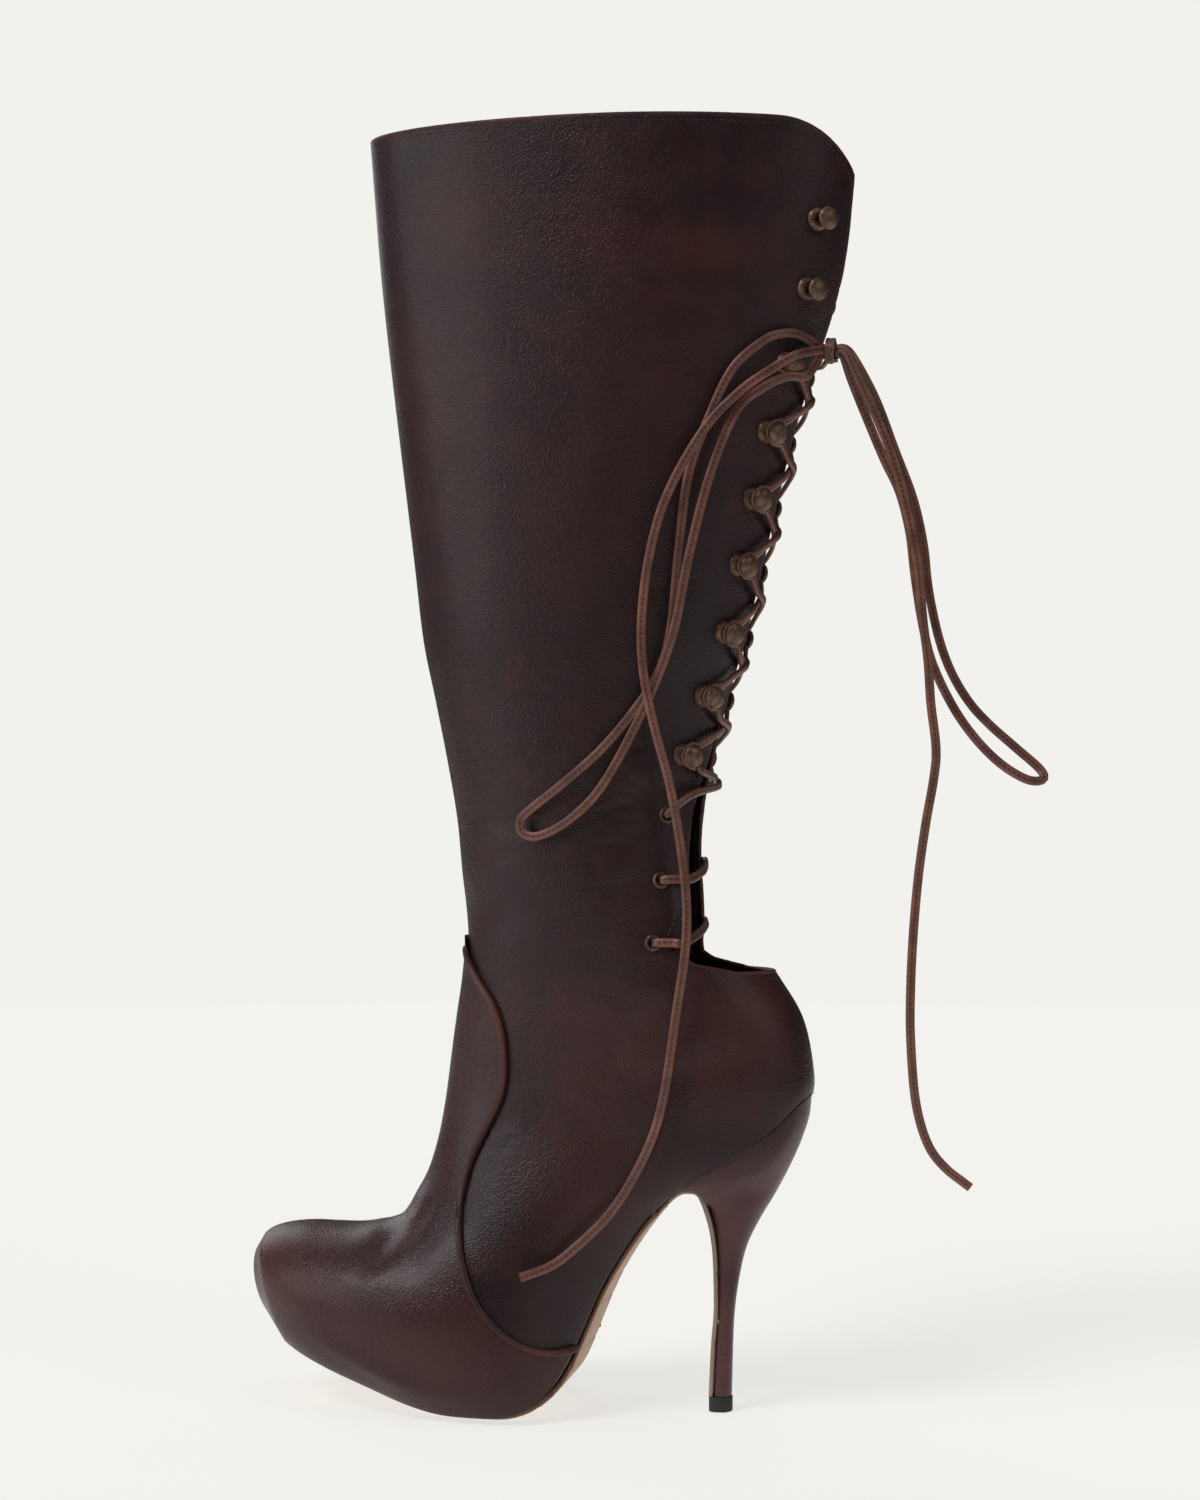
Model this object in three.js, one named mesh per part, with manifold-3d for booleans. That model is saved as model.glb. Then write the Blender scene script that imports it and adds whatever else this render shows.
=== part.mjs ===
// Corset-back boot: a left knee boot on a tall covered heel, laced up the back of the leg.
// Millimetres, +Z up. The toe points to -X, the heel to +X, the outer side of the leg to -Y.
// While it is modelled, x = 0 is the middle of the heel tip and z = 0 is the floor.
import * as THREE from 'three';
import { mergeGeometries, mergeVertices } from 'three/addons/utils/BufferGeometryUtils.js';
import Module from 'manifold-3d';

const wasm = await Module();
wasm.setup();

// Driving sizes of the foot
const FOOT_REACH = 231; // level, from the toe tip to the back of the counter
const COUNTER_OVERHANG = 37; // the counter's back stands this far behind the heel tip's middle
const HEEL_HEIGHT = 127; // floor to the back of the heel seat
const INSTEP_HEIGHT = 200; // floor to the ankle, where the leg's level sections start
const BALL_WIDTH = 92;
const PLATFORM = 20; // hidden platform and footbed under the ball
const FOOTBED = 4; // footbed at the waist and the seat

// Driving sizes of the leg
const BOOT_HEIGHT = 513; // floor to the collar's front
const COLLAR_DEPTH = 200; // front to back
const COLLAR_WIDTH = 76; // side to side
const COLLAR_CORNER = 30; // radius of each flap's top corner
const COLLAR_DROP = 3.5; // the collar's fall from front to back
const SLIT_WIDTH = 3; // between the flaps where they nearly touch
const SCOOP_WIDTH = 56; // widest part of the heel cut-out, over the counter
const SCOOP_DROP = 24.5; // from the ankle down to the bottom of the cut-out
const SLIT_RISE = 125; // from the cut-out's bottom to where the flaps nearly touch

// Walls and clearances
const WALL = 2; // leather and lining together
const GAP = 0.3; // between pieces that meet
const VAMP_LEATHER = 1.3;
const BINDING_HEIGHT = 2.2; // how far the vamp's bound edge stands off the leg
const BINDING_WIDTH = 2.6;

// Sole and heel
const OUTSOLE = 2.5;
const BREAST_FLAP = 1.8; // sole leather at the waist and down the heel's front
const HEEL_TIP_HEIGHT = 6;
const TIP_LIP = 0.3; // how far the heel tip stands out past the heel
const SEAT_WIDTH = 56; // heel at the seat
const HEEL_FRONT_SQUARENESS = 4;
const HEEL_BACK_SQUARENESS = 2.1;
const BALL_INSET = 7; // sole edge inside the wrapped platform
const WAIST_INSET = 1;
const SOLE_BEVEL = 1.2;
const FLAP_SHARE = 0.96; // the flap's width, as a share of the heel's

// Hooks, eyelets and lace
const HOOK_INSET = 20; // top hook from the flap's edge, over the leather
const LOWEST_HOOK_INSET = 15;
const HOOK_BASE_RADIUS = 4.6;
const HOOK_BASE_THICKNESS = 0.9;
const HOOK_NECK_RADIUS = 1.2;
const HOOK_CAP_RADIUS = 3.9;
const HOOK_CAP_HEIGHT = 2.8;
const HOOK_NECK_SHIFT = 2.6; // from the base's middle towards the flap's edge
const HOOK_CAP_SHIFT = 1.8;
const INNER_EYELET_RISE = 6; // the inner flap's eyelets sit a little higher
const EYELET_INSET = 12;
const EYELET_RADIUS = 3.4;
const EYELET_HOLE_RADIUS = 1.8;
const EYELET_FLANGE = 0.9;
const EYELET_BARREL = 0.5; // wall of the tube through the leather
const LACE_THICKNESS = 2.4;
const LACE_STEP = 7; // length of a straight piece of the lace's solid
const BOW_STEP = 11; // the same, on the bow's loops and ends
const LACE_SIDES = 6;
const LACE_RISE = 4; // the top strand climbs this far from its hook to the knot
const FLAP_REACH = 6; // a crossing strand meets the leather this far inside each flap's edge
const LACE_LIFT = 1.4; // between the flaps' leather and a strand over it
const LACE_SLACK = 1.2; // round a hook's neck
const LACE_TAIL = 3.2; // a strand leaves its hook this far behind the neck
const BAR_BOW = 2; // how far the bars stand out behind the flaps' edges

// Smoothness of the faceted forms
const POINTS_AROUND = 24;
const RINGS_PER_SECTION = 1;
const CORNER_STEPS = 8;
const FEATHER_STEPS = 34;
const VAMP_STEPS = 26;
const ARCH_STEPS = 26;
const RING_SIDES = 10; // of the hooks' bases and the eyelets
const CAP_SIDES = 8;
const HEEL_RINGS = 16;
const HEEL_POINTS = 20;
const WIDTH_SAMPLES = 120;
const CUT_PAST = 60; // how far a cut runs on past the leather

const HALF_TURN = Math.PI;
const FULL_TURN = 2 * Math.PI;
const UP = new THREE.Vector3(0, 0, 1);

// Level sections of the leg. up: share of the leg's height. front, back: shares of COLLAR_DEPTH
// from the leg's axis. width: share of COLLAR_WIDTH.
const LEG_AXIS = 0.398; // share of FOOT_REACH, from the counter's back
const legRows = [
  { up: 1.03, front: 0.451, back: 0.556, width: 0.99 },
  { up: 0.863, front: 0.43, back: 0.532, width: 1.026 },
  { up: 0.767, front: 0.415, back: 0.502, width: 1.04 },
  { up: 0.623, front: 0.388, back: 0.428, width: 1.04 },
  { up: 0.454, front: 0.355, back: 0.363, width: 1.0 },
  { up: 0.348, front: 0.335, back: 0.324, width: 0.96 },
  { up: 0.271, front: 0.31, back: 0.288, width: 0.92 },
  { up: 0.192, front: 0.285, back: 0.264, width: 0.895 },
  { up: 0.115, front: 0.264, back: 0.262, width: 0.87 },
  { up: 0.048, front: 0.254, back: 0.275, width: 0.868 },
  { up: 0.0, front: 0.245, back: 0.31, width: 0.868 },
];

// Sections of the foot fan from level at the ankle to upright at the toe. frontAlong, backAlong:
// shares of FOOT_REACH from the counter's back. frontUp: share of INSTEP_HEIGHT. backUp: share of
// HEEL_HEIGHT. width, swing: shares of BALL_WIDTH, swing towards the inner side. widest: where the
// section is widest, as a share of the way from its front to its back. roundFront, roundBack: how
// square its two halves are. nose: how far a thicker skin moves the section forwards.
const footRows = [
  { frontAlong: 0.606, frontUp: 0.93, backAlong: 0.069, backUp: 1.394, width: 0.707, swing: 0,
    widest: 0.53, roundFront: 2, roundBack: 2, nose: 0 },
  { frontAlong: 0.611, frontUp: 0.86, backAlong: 0.019, backUp: 1.244, width: 0.696, swing: 0,
    widest: 0.56, roundFront: 2, roundBack: 2, nose: 0 },
  { frontAlong: 0.62, frontUp: 0.79, backAlong: 0.0, backUp: 1.087, width: 0.685, swing: 0,
    widest: 0.58, roundFront: 2, roundBack: 2.1, nose: 0 },
  { frontAlong: 0.628, frontUp: 0.725, backAlong: 0.002, backUp: 0.994, width: 0.674, swing: 0,
    widest: 0.6, roundFront: 2, roundBack: 2.3, nose: 0 },
  { frontAlong: 0.635, frontUp: 0.665, backAlong: 0.032, backUp: 0.898, width: 0.674, swing: 0,
    widest: 0.6, roundFront: 1.9, roundBack: 2.6, nose: 0 },
  { frontAlong: 0.643, frontUp: 0.6, backAlong: 0.072, backUp: 0.799, width: 0.674, swing: 0,
    widest: 0.6, roundFront: 1.9, roundBack: 3.0, nose: 0 },
  { frontAlong: 0.654, frontUp: 0.533, backAlong: 0.179, backUp: 0.715, width: 0.685, swing: -0.005,
    widest: 0.6, roundFront: 1.9, roundBack: 2.8, nose: 0 },
  { frontAlong: 0.67, frontUp: 0.471, backAlong: 0.251, backUp: 0.606, width: 0.717, swing: -0.011,
    widest: 0.55, roundFront: 1.9, roundBack: 2.2, nose: 0 },
  { frontAlong: 0.689, frontUp: 0.427, backAlong: 0.313, backUp: 0.441, width: 0.783, swing: -0.016,
    widest: 0.52, roundFront: 1.9, roundBack: 2.0, nose: 0 },
  { frontAlong: 0.712, frontUp: 0.384, backAlong: 0.357, backUp: 0.269, width: 0.87, swing: -0.022,
    widest: 0.5, roundFront: 2, roundBack: 2.1, nose: 0 },
  { frontAlong: 0.74, frontUp: 0.364, backAlong: 0.394, backUp: 0.105, width: 0.946, swing: -0.022,
    widest: 0.5, roundFront: 2, roundBack: 2.6, nose: 0 },
  { frontAlong: 0.771, frontUp: 0.355, backAlong: 0.442, backUp: -0.014, width: 0.989, swing: -0.016,
    widest: 0.5, roundFront: 2.1, roundBack: 3.4, nose: 0 },
  { frontAlong: 0.81, frontUp: 0.349, backAlong: 0.52, backUp: -0.04, width: 1.0, swing: 0,
    widest: 0.5, roundFront: 2.1, roundBack: 4.0, nose: 0.1 },
  { frontAlong: 0.853, frontUp: 0.347, backAlong: 0.624, backUp: -0.027, width: 0.967, swing: 0.022,
    widest: 0.5, roundFront: 2.1, roundBack: 4.0, nose: 0.25 },
  { frontAlong: 0.9, frontUp: 0.346, backAlong: 0.724, backUp: 0.027, width: 0.891, swing: 0.043,
    widest: 0.5, roundFront: 2.1, roundBack: 3.6, nose: 0.4 },
  { frontAlong: 0.944, frontUp: 0.338, backAlong: 0.824, backUp: 0.079, width: 0.77, swing: 0.065,
    widest: 0.5, roundFront: 2.1, roundBack: 3.2, nose: 0.6 },
  { frontAlong: 0.973, frontUp: 0.323, backAlong: 0.908, backUp: 0.15, width: 0.6, swing: 0.082,
    widest: 0.5, roundFront: 2.1, roundBack: 2.6, nose: 0.8 },
  { frontAlong: 0.989, frontUp: 0.295, backAlong: 0.962, backUp: 0.262, width: 0.38, swing: 0.092,
    widest: 0.5, roundFront: 2, roundBack: 2.2, nose: 1 },
];
const toeTip = { along: 0.996, up: 0.235, swing: 0.095 };

// The edge where the upper meets the sole, seen from the side. along: share of FOOT_REACH from the
// counter's back. up: share of HEEL_HEIGHT above the top of the tread.
const featherRows = [
  { along: -0.05, up: 1.045 },
  { along: 0.004, up: 0.978 },
  { along: 0.058, up: 0.881 },
  { along: 0.106, up: 0.817 },
  { along: 0.156, up: 0.768 },
  { along: 0.203, up: 0.7165 },
  { along: 0.242, up: 0.6575 },
  { along: 0.279, up: 0.589 },
  { along: 0.317, up: 0.494 },
  { along: 0.354, up: 0.38 },
  { along: 0.387, up: 0.242 },
  { along: 0.411, up: 0.143 },
  { along: 0.433, up: 0.08 },
  { along: 0.463, up: 0.032 },
  { along: 0.495, up: 0.008 },
  { along: 0.525, up: 0 },
  { along: 0.567, up: 0 },
  { along: 0.61, up: 0 },
  { along: 0.645, up: 0.008 },
  { along: 0.706, up: 0.035 },
  { along: 0.766, up: 0.071 },
  { along: 0.831, up: 0.11 },
  { along: 0.887, up: 0.146 },
  { along: 0.948, up: 0.192 },
];

// Small helpers for numbers, lines and solids
const alongFoot = (share) => COUNTER_OVERHANG - share * FOOT_REACH;
const lerp = (a, b, share) => a + (b - a) * share;

function blend(rows, t) {
  // Smooth curve through rows of numbers, one row for each whole t
  const last = rows.length - 1;
  const i = Math.min(Math.max(Math.floor(t), 0), last - 1);
  const f = t - i;
  const row = (k) => rows[Math.min(Math.max(k, 0), last)];
  return row(i).map((_, n) => {
    const [a, b, c, d] = [row(i - 1)[n], row(i)[n], row(i + 1)[n], row(i + 2)[n]];
    const linear = b + f * (c - b);
    const bend = 2 * a - 5 * b + 4 * c - d + f * (3 * (b - c) + d - a);
    return i === 0 || i === last - 1 ? linear : b + 0.5 * f * (c - a + f * bend);
  });
}

function toSolid(geometry) {
  const bare = geometry.index ? geometry.toNonIndexed() : geometry.clone();
  for (const name of Object.keys(bare.attributes)) {
    if (name !== 'position') bare.deleteAttribute(name);
  }
  const merged = mergeVertices(bare, 1e-4);
  return new wasm.Manifold(new wasm.Mesh({
    numProp: 3,
    vertProperties: new Float32Array(merged.attributes.position.array),
    triVerts: new Uint32Array(merged.index.array),
  }));
}

function toGeometry(solid) {
  const mesh = solid.getMesh();
  const geometry = new THREE.BufferGeometry();
  geometry.setAttribute('position', new THREE.BufferAttribute(mesh.vertProperties, 3));
  geometry.setIndex(new THREE.BufferAttribute(mesh.triVerts, 1));
  return geometry;
}

function signedVolume(triangles) {
  const cross = new THREE.Vector3();
  return triangles.reduce((sum, [a, b, c]) => sum + a.dot(cross.crossVectors(b, c)), 0);
}

function loft(rings, startPoint, endPoint) {
  // Closed skin over rings of equal count, each end drawn together at a point
  const triangles = [];
  const count = rings[0].length;
  for (let i = 0; i < count; i += 1) {
    const j = (i + 1) % count;
    triangles.push([startPoint, rings[0][j], rings[0][i]]);
    for (let r = 0; r + 1 < rings.length; r += 1) {
      triangles.push([rings[r][i], rings[r][j], rings[r + 1][j]]);
      triangles.push([rings[r][i], rings[r + 1][j], rings[r + 1][i]]);
    }
    const end = rings[rings.length - 1];
    triangles.push([endPoint, end[i], end[j]]);
  }
  const outward = signedVolume(triangles) > 0 ? triangles : triangles.map(([a, b, c]) => [a, c, b]);
  return new THREE.BufferGeometry().setFromPoints(outward.flat());
}

const centreOf = (ring) => ring.reduce((sum, p) => sum.add(p), new THREE.Vector3())
  .divideScalar(ring.length);

function sidePrism(outline, halfWidth) {
  // Outline of [x, z] points pushed out to both sides
  const shape = new THREE.Shape(outline.map(([x, z]) => new THREE.Vector2(x, z)));
  const geometry = new THREE.ExtrudeGeometry(shape, { depth: 2 * halfWidth, bevelEnabled: false });
  geometry.rotateX(HALF_TURN / 2);
  return geometry.translate(0, halfWidth, 0);
}

function backPrism(outline, fromX, toX) {
  // Outline of [y, z] points, as seen from behind, pushed along X
  const shape = new THREE.Shape(outline.map(([y, z]) => new THREE.Vector2(y, z)));
  const geometry = new THREE.ExtrudeGeometry(shape, { depth: toX - fromX, bevelEnabled: false });
  const turn = new THREE.Matrix4().makeBasis(
    new THREE.Vector3(0, 1, 0), UP, new THREE.Vector3(1, 0, 0));
  return geometry.applyMatrix4(turn).translate(fromX, 0, 0);
}

function offsetLine(line, distanceAt) {
  // Moves a line of [x, z] points to its left, as walked from first to last
  return line.map((point, i) => {
    const distance = typeof distanceAt === 'function' ? distanceAt(point[0]) : distanceAt;
    const before = line[Math.max(i - 1, 0)];
    const after = line[Math.min(i + 1, line.length - 1)];
    const run = new THREE.Vector2(after[0] - before[0], after[1] - before[1]).normalize();
    return [point[0] - run.y * distance, point[1] + run.x * distance];
  });
}

function tube(path, radius, sides, steps) {
  const shape = new THREE.Shape();
  shape.absarc(0, 0, radius, 0, FULL_TURN);
  const ring = new THREE.Shape(shape.getSpacedPoints(sides).slice(0, sides));
  return new THREE.ExtrudeGeometry(ring, { steps, extrudePath: path, bevelEnabled: false });
}

// The boot's outer form
const treadTop = OUTSOLE + GAP;
const legAxis = alongFoot(LEG_AXIS);
const legSections = legRows.map(({ up, front, back, width }) => {
  const z = lerp(INSTEP_HEIGHT, BOOT_HEIGHT, up);
  return [legAxis - front * COLLAR_DEPTH, z, legAxis + back * COLLAR_DEPTH, z,
    width * COLLAR_WIDTH, 0, 0.54, 1.8, 1.9, 0];
});
const footSections = footRows.map((row) => [
  alongFoot(row.frontAlong), row.frontUp * INSTEP_HEIGHT,
  alongFoot(row.backAlong), row.backUp * HEEL_HEIGHT,
  row.width * BALL_WIDTH, row.swing * BALL_WIDTH,
  row.widest, row.roundFront, row.roundBack, row.nose,
]);
const sections = [...legSections, ...footSections];
const lastLeg = legSections.length - 1;
const lastSection = sections.length - 1;

function skinPoint(t, angle, grow) {
  // Point on the form at section t, grown by a skin. Angle 0 is the back, half a turn the front.
  const [fx, fz, bx, bz, width, swing, widest, roundFront, roundBack, nose] = blend(sections, t);
  const depth = Math.hypot(bx - fx, bz - fz);
  const round = Math.cos(angle) > 0 ? roundBack : roundFront;
  const reach = Math.cos(angle) > 0 ? (1 - widest) * depth + grow : widest * depth + grow;
  const power = 2 / round;
  const along = widest * depth
    + Math.sign(Math.cos(angle)) * reach * Math.abs(Math.cos(angle)) ** power;
  const side = Math.sign(Math.sin(angle)) * (width / 2 + grow) * Math.abs(Math.sin(angle)) ** power;
  return new THREE.Vector3(
    fx + (bx - fx) * along / depth - nose * grow,
    swing + side,
    fz + (bz - fz) * along / depth);
}

function skinNormal(t, angle) {
  const step = 0.02;
  const around = skinPoint(t, angle + step, 0).sub(skinPoint(t, angle - step, 0));
  const down = skinPoint(t + step, angle, 0).sub(skinPoint(t - step, angle, 0));
  return down.cross(around).normalize();
}

const ringCount = Math.ceil(lastSection * RINGS_PER_SECTION);
const ringPlaces = Array.from({ length: ringCount + 1 }, (_, k) => lastSection * k / ringCount);

function bodyForm(grow, from = 0) {
  // The form grown by a skin, or shrunk by a wall, from section "from" down to the toe
  const rings = ringPlaces.filter((t) => t >= from).map((t) =>
    Array.from({ length: POINTS_AROUND }, (_unused, i) =>
      skinPoint(t, FULL_TURN * i / POINTS_AROUND, grow)));
  const tip = new THREE.Vector3(
    alongFoot(toeTip.along) - grow, toeTip.swing * BALL_WIDTH, toeTip.up * INSTEP_HEIGHT);
  return toSolid(loft(rings, centreOf(rings[0]), tip));
}

// The feather line, from the toe back to the heel, and what it cuts
const featherCurve = new THREE.CatmullRomCurve3(featherRows.map(({ along, up }) =>
  new THREE.Vector3(alongFoot(along), 0, treadTop + up * HEEL_HEIGHT)).reverse());
const feather = featherCurve.getPoints(FEATHER_STEPS).map((p) => [p.x, p.z]);
const farBelow = -CUT_PAST;
const bodyBreadth = 1.5 * Math.max(BALL_WIDTH, COLLAR_WIDTH);

function belowFeather(drop) {
  const line = offsetLine(feather, -drop);
  const [first, last] = [line[0], line[line.length - 1]];
  const outline = [[first[0] - FOOT_REACH, first[1]], ...line, [last[0] + FOOT_REACH, last[1]],
    [last[0] + FOOT_REACH, farBelow], [first[0] - FOOT_REACH, farBelow]];
  return toSolid(sidePrism(outline, bodyBreadth));
}

// Collar, slit and cut-out
const collarBack = legAxis + legRows[0].back * COLLAR_DEPTH;
function collarCut() {
  const corner = Array.from({ length: CORNER_STEPS + 1 }, (_, k) => {
    const angle = HALF_TURN / 2 * (1 - k / CORNER_STEPS);
    return [collarBack - COLLAR_CORNER * (1 - Math.cos(angle)),
      BOOT_HEIGHT - COLLAR_DROP - COLLAR_CORNER * (1 - Math.sin(angle))];
  });
  const high = BOOT_HEIGHT + CUT_PAST;
  const frontX = legAxis - COLLAR_DEPTH;
  const outline = [[frontX, BOOT_HEIGHT + 1], ...corner,
    [collarBack + CUT_PAST, corner[CORNER_STEPS][1]], [collarBack + CUT_PAST, high], [frontX, high]];
  return toSolid(sidePrism(outline, bodyBreadth));
}

// The slit and the cut-out, seen from behind. up: share of SLIT_RISE above the cut-out's bottom.
// half: share of SCOOP_WIDTH from the middle, past half a slit.
const scoopRows = [
  { up: 0, half: 0 },
  { up: 0, half: 0.33 },
  { up: 0.0137, half: 0.42 },
  { up: 0.0392, half: 0.48 },
  { up: 0.098, half: 0.465 },
  { up: 0.196, half: 0.4 },
  { up: 0.294, half: 0.33 },
  { up: 0.392, half: 0.295 },
  { up: 0.5, half: 0.255 },
  { up: 0.598, half: 0.195 },
  { up: 0.696, half: 0.105 },
  { up: 0.833, half: 0.035 },
  { up: 1, half: 0 },
];
const slitHalf = ({ half }) => SLIT_WIDTH / 2 + half * SCOOP_WIDTH;
const slitHeight = ({ up }) => INSTEP_HEIGHT - SCOOP_DROP + up * SLIT_RISE;

function slitHalfAt(z) {
  const above = scoopRows.findIndex((row, i) => i > 1 && slitHeight(row) >= z);
  if (above < 0) return SLIT_WIDTH / 2;
  const [a, b] = [scoopRows[above - 1], scoopRows[above]];
  const share = (z - slitHeight(a)) / (slitHeight(b) - slitHeight(a));
  return lerp(slitHalf(a), slitHalf(b), share);
}

function slitCut() {
  const side = scoopRows.slice(1).map((row) => [slitHalf(row), slitHeight(row)]);
  const top = [SLIT_WIDTH / 2, BOOT_HEIGHT + CUT_PAST];
  const right = [...side, top];
  const left = right.map(([y, z]) => [-y, z]).reverse();
  return toSolid(backPrism([...right, ...left], legAxis, collarBack + CUT_PAST));
}

// Places on the flaps
function sectionAtHeight(z) {
  for (let t = 0; t < lastLeg + 1; t += 0.01) {
    if (skinPoint(t, 0.9, 0).z <= z) return t;
  }
  return lastLeg + 1;
}

function flapPlace(z, inset, side) {
  // Place on the leg's outer face, measured over the leather from the flap's edge.
  // side: -1 outer, 1 inner
  const t = sectionAtHeight(z);
  const edge = slitHalfAt(z);
  let angle = 0;
  while (Math.abs(skinPoint(t, side * angle, 0).y) < edge) angle += 0.002;
  let walked = 0;
  let point = skinPoint(t, side * angle, 0);
  while (walked < Math.abs(inset)) {
    angle += Math.sign(inset) * 0.002;
    const next = skinPoint(t, side * angle, 0);
    walked += next.distanceTo(point);
    point = next;
  }
  const normal = skinNormal(t, side * angle);
  if (normal.y * side < 0) normal.negate();
  const upward = UP.clone().addScaledVector(normal, -normal.z).normalize();
  const toEdge = new THREE.Vector3().crossVectors(upward, normal).multiplyScalar(-side);
  return { point, normal, upward, toEdge };
}

const offSpot = ({ point, normal, upward, toEdge }, edgeward, up, out) => point.clone()
  .addScaledVector(toEdge, edgeward).addScaledVector(upward, up).addScaledVector(normal, out);

function frameOf({ point, normal, upward, toEdge }, side) {
  // Local X runs to the flap's edge, Y up or down the flap, Z out of the leather
  const y = upward.clone().multiplyScalar(-side);
  return new THREE.Matrix4().makeBasis(toEdge, y, normal).setPosition(point);
}

const sides = [{ name: 'outer', sign: -1 }, { name: 'inner', sign: 1 }];

// Hooks and eyelets from the top down. Hooks: shares of the leg's height, the free ones above the
// bow. Eyelets: shares of SLIT_RISE above the cut-out's bottom.
const freeHookUps = [0.866, 0.78];
const lacedHookUps = [0.687, 0.602, 0.519, 0.436, 0.3515, 0.2715, 0.1965];
const eyeletUps = [0.5, 0.296, 0.096];
const hookHeights = [...freeHookUps, ...lacedHookUps].map((up) =>
  lerp(INSTEP_HEIGHT, BOOT_HEIGHT, up));
const lastHook = hookHeights.length - 1;
const hookSpot = (i, sign) =>
  flapPlace(hookHeights[i], lerp(HOOK_INSET, LOWEST_HOOK_INSET, i / lastHook), sign);
const eyeletHeights = (sign) => eyeletUps.map((up) =>
  slitHeight({ up }) + (sign > 0 ? INNER_EYELET_RISE : 0));

// Pieces
const eyeletBore = EYELET_HOLE_RADIUS + EYELET_BARREL + GAP;

function upper() {
  const shell = bodyForm(0).subtract(bodyForm(-WALL));
  let wall = shell.subtract(belowFeather(0)).subtract(collarCut()).subtract(slitCut());
  for (const { sign } of sides) {
    for (const z of eyeletHeights(sign)) {
      const hole = new THREE.CylinderGeometry(eyeletBore, eyeletBore, 5 * WALL, RING_SIDES)
        .rotateX(HALF_TURN / 2).applyMatrix4(frameOf(flapPlace(z, EYELET_INSET, sign), sign));
      wall = wall.subtract(toSolid(hole));
    }
  }
  return toGeometry(wall);
}

// The vamp's edge, seen from the side. along: share of FOOT_REACH from the counter's back. up: share
// of INSTEP_HEIGHT.
const vampRows = [
  { along: 0.63, up: 0.957 },
  { along: 0.608, up: 0.951 },
  { along: 0.602, up: 0.936 },
  { along: 0.591, up: 0.907 },
  { along: 0.567, up: 0.865 },
  { along: 0.537, up: 0.818 },
  { along: 0.519, up: 0.765 },
  { along: 0.513, up: 0.71 },
  { along: 0.514, up: 0.66 },
  { along: 0.526, up: 0.61 },
  { along: 0.552, up: 0.55 },
  { along: 0.574, up: 0.492 },
  { along: 0.584, up: 0.423 },
  { along: 0.579, up: 0.356 },
  { along: 0.566, up: 0.299 },
  { along: 0.543, up: 0.24 },
  { along: 0.503, up: 0.188 },
  { along: 0.461, up: 0.158 },
  { along: 0.418, up: 0.148 },
  { along: 0.384, up: 0.159 },
  { along: 0.35, up: 0.19 },
];
const vampCurve = new THREE.CatmullRomCurve3(vampRows.map(({ along, up }) =>
  new THREE.Vector3(alongFoot(along), 0, up * INSTEP_HEIGHT)));
const vampEdge = vampCurve.getPoints(VAMP_STEPS).map((p) => [p.x, p.z]);
const firstVampSection = legSections.length - 3;

function vampRegion(inset) {
  const line = offsetLine(vampEdge, -inset);
  const farToe = alongFoot(1.3);
  const outline = [[farToe, line[0][1]], ...line, [line[line.length - 1][0], farBelow],
    [farToe, farBelow]];
  return toSolid(sidePrism(outline, bodyBreadth));
}

function overlay(inner, outer, region) {
  return bodyForm(outer, firstVampSection).subtract(bodyForm(inner, firstVampSection - 1))
    .intersect(region).subtract(belowFeather(0));
}

function vamp() {
  return toGeometry(overlay(GAP, GAP + VAMP_LEATHER, vampRegion(BINDING_WIDTH + GAP)));
}

function vampBinding() {
  const band = vampRegion(0).subtract(vampRegion(BINDING_WIDTH));
  return toGeometry(overlay(GAP, GAP + BINDING_HEIGHT, band));
}

function insole() {
  const inside = bodyForm(-WALL - GAP).subtract(belowFeather(0));
  const [ballX, waistX] = [alongFoot(0.47), alongFoot(0.3)];
  const thickness = (x) => lerp(PLATFORM, FOOTBED, THREE.MathUtils.smoothstep(x, ballX, waistX));
  const top = offsetLine(feather, thickness);
  const [first, last] = [top[0], top[top.length - 1]];
  const outline = [[first[0] - FOOT_REACH, first[1]], ...top, [last[0] + FOOT_REACH, last[1]],
    [last[0] + FOOT_REACH, farBelow], [first[0] - FOOT_REACH, farBelow]];
  return toGeometry(inside.intersect(toSolid(sidePrism(outline, bodyBreadth))));
}

function featherCrossing(t) {
  // Where section t reaches the feather line, and how wide the boot is there
  const [fx, fz, bx, bz, width, swing, widest, , roundBack] = blend(sections, t);
  const heightOver = (share) => {
    const x = lerp(fx, bx, share);
    const i = Math.max(feather.findIndex((p) => p[0] > x), 1);
    const [a, b] = [feather[i - 1], feather[i]];
    return lerp(fz, bz, share) - lerp(a[1], b[1], (x - a[0]) / (b[0] - a[0]));
  };
  let [low, high] = [0.6, 1];
  for (let k = 0; k < 30; k += 1) {
    const middle = (low + high) / 2;
    if (heightOver(middle) > 0) low = middle;
    else high = middle;
  }
  const past = Math.max((low - widest) / (1 - widest), 0);
  return {
    x: lerp(fx, bx, low),
    swing,
    half: width / 2 * Math.max(1 - past ** roundBack, 0) ** (1 / roundBack),
  };
}

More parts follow.
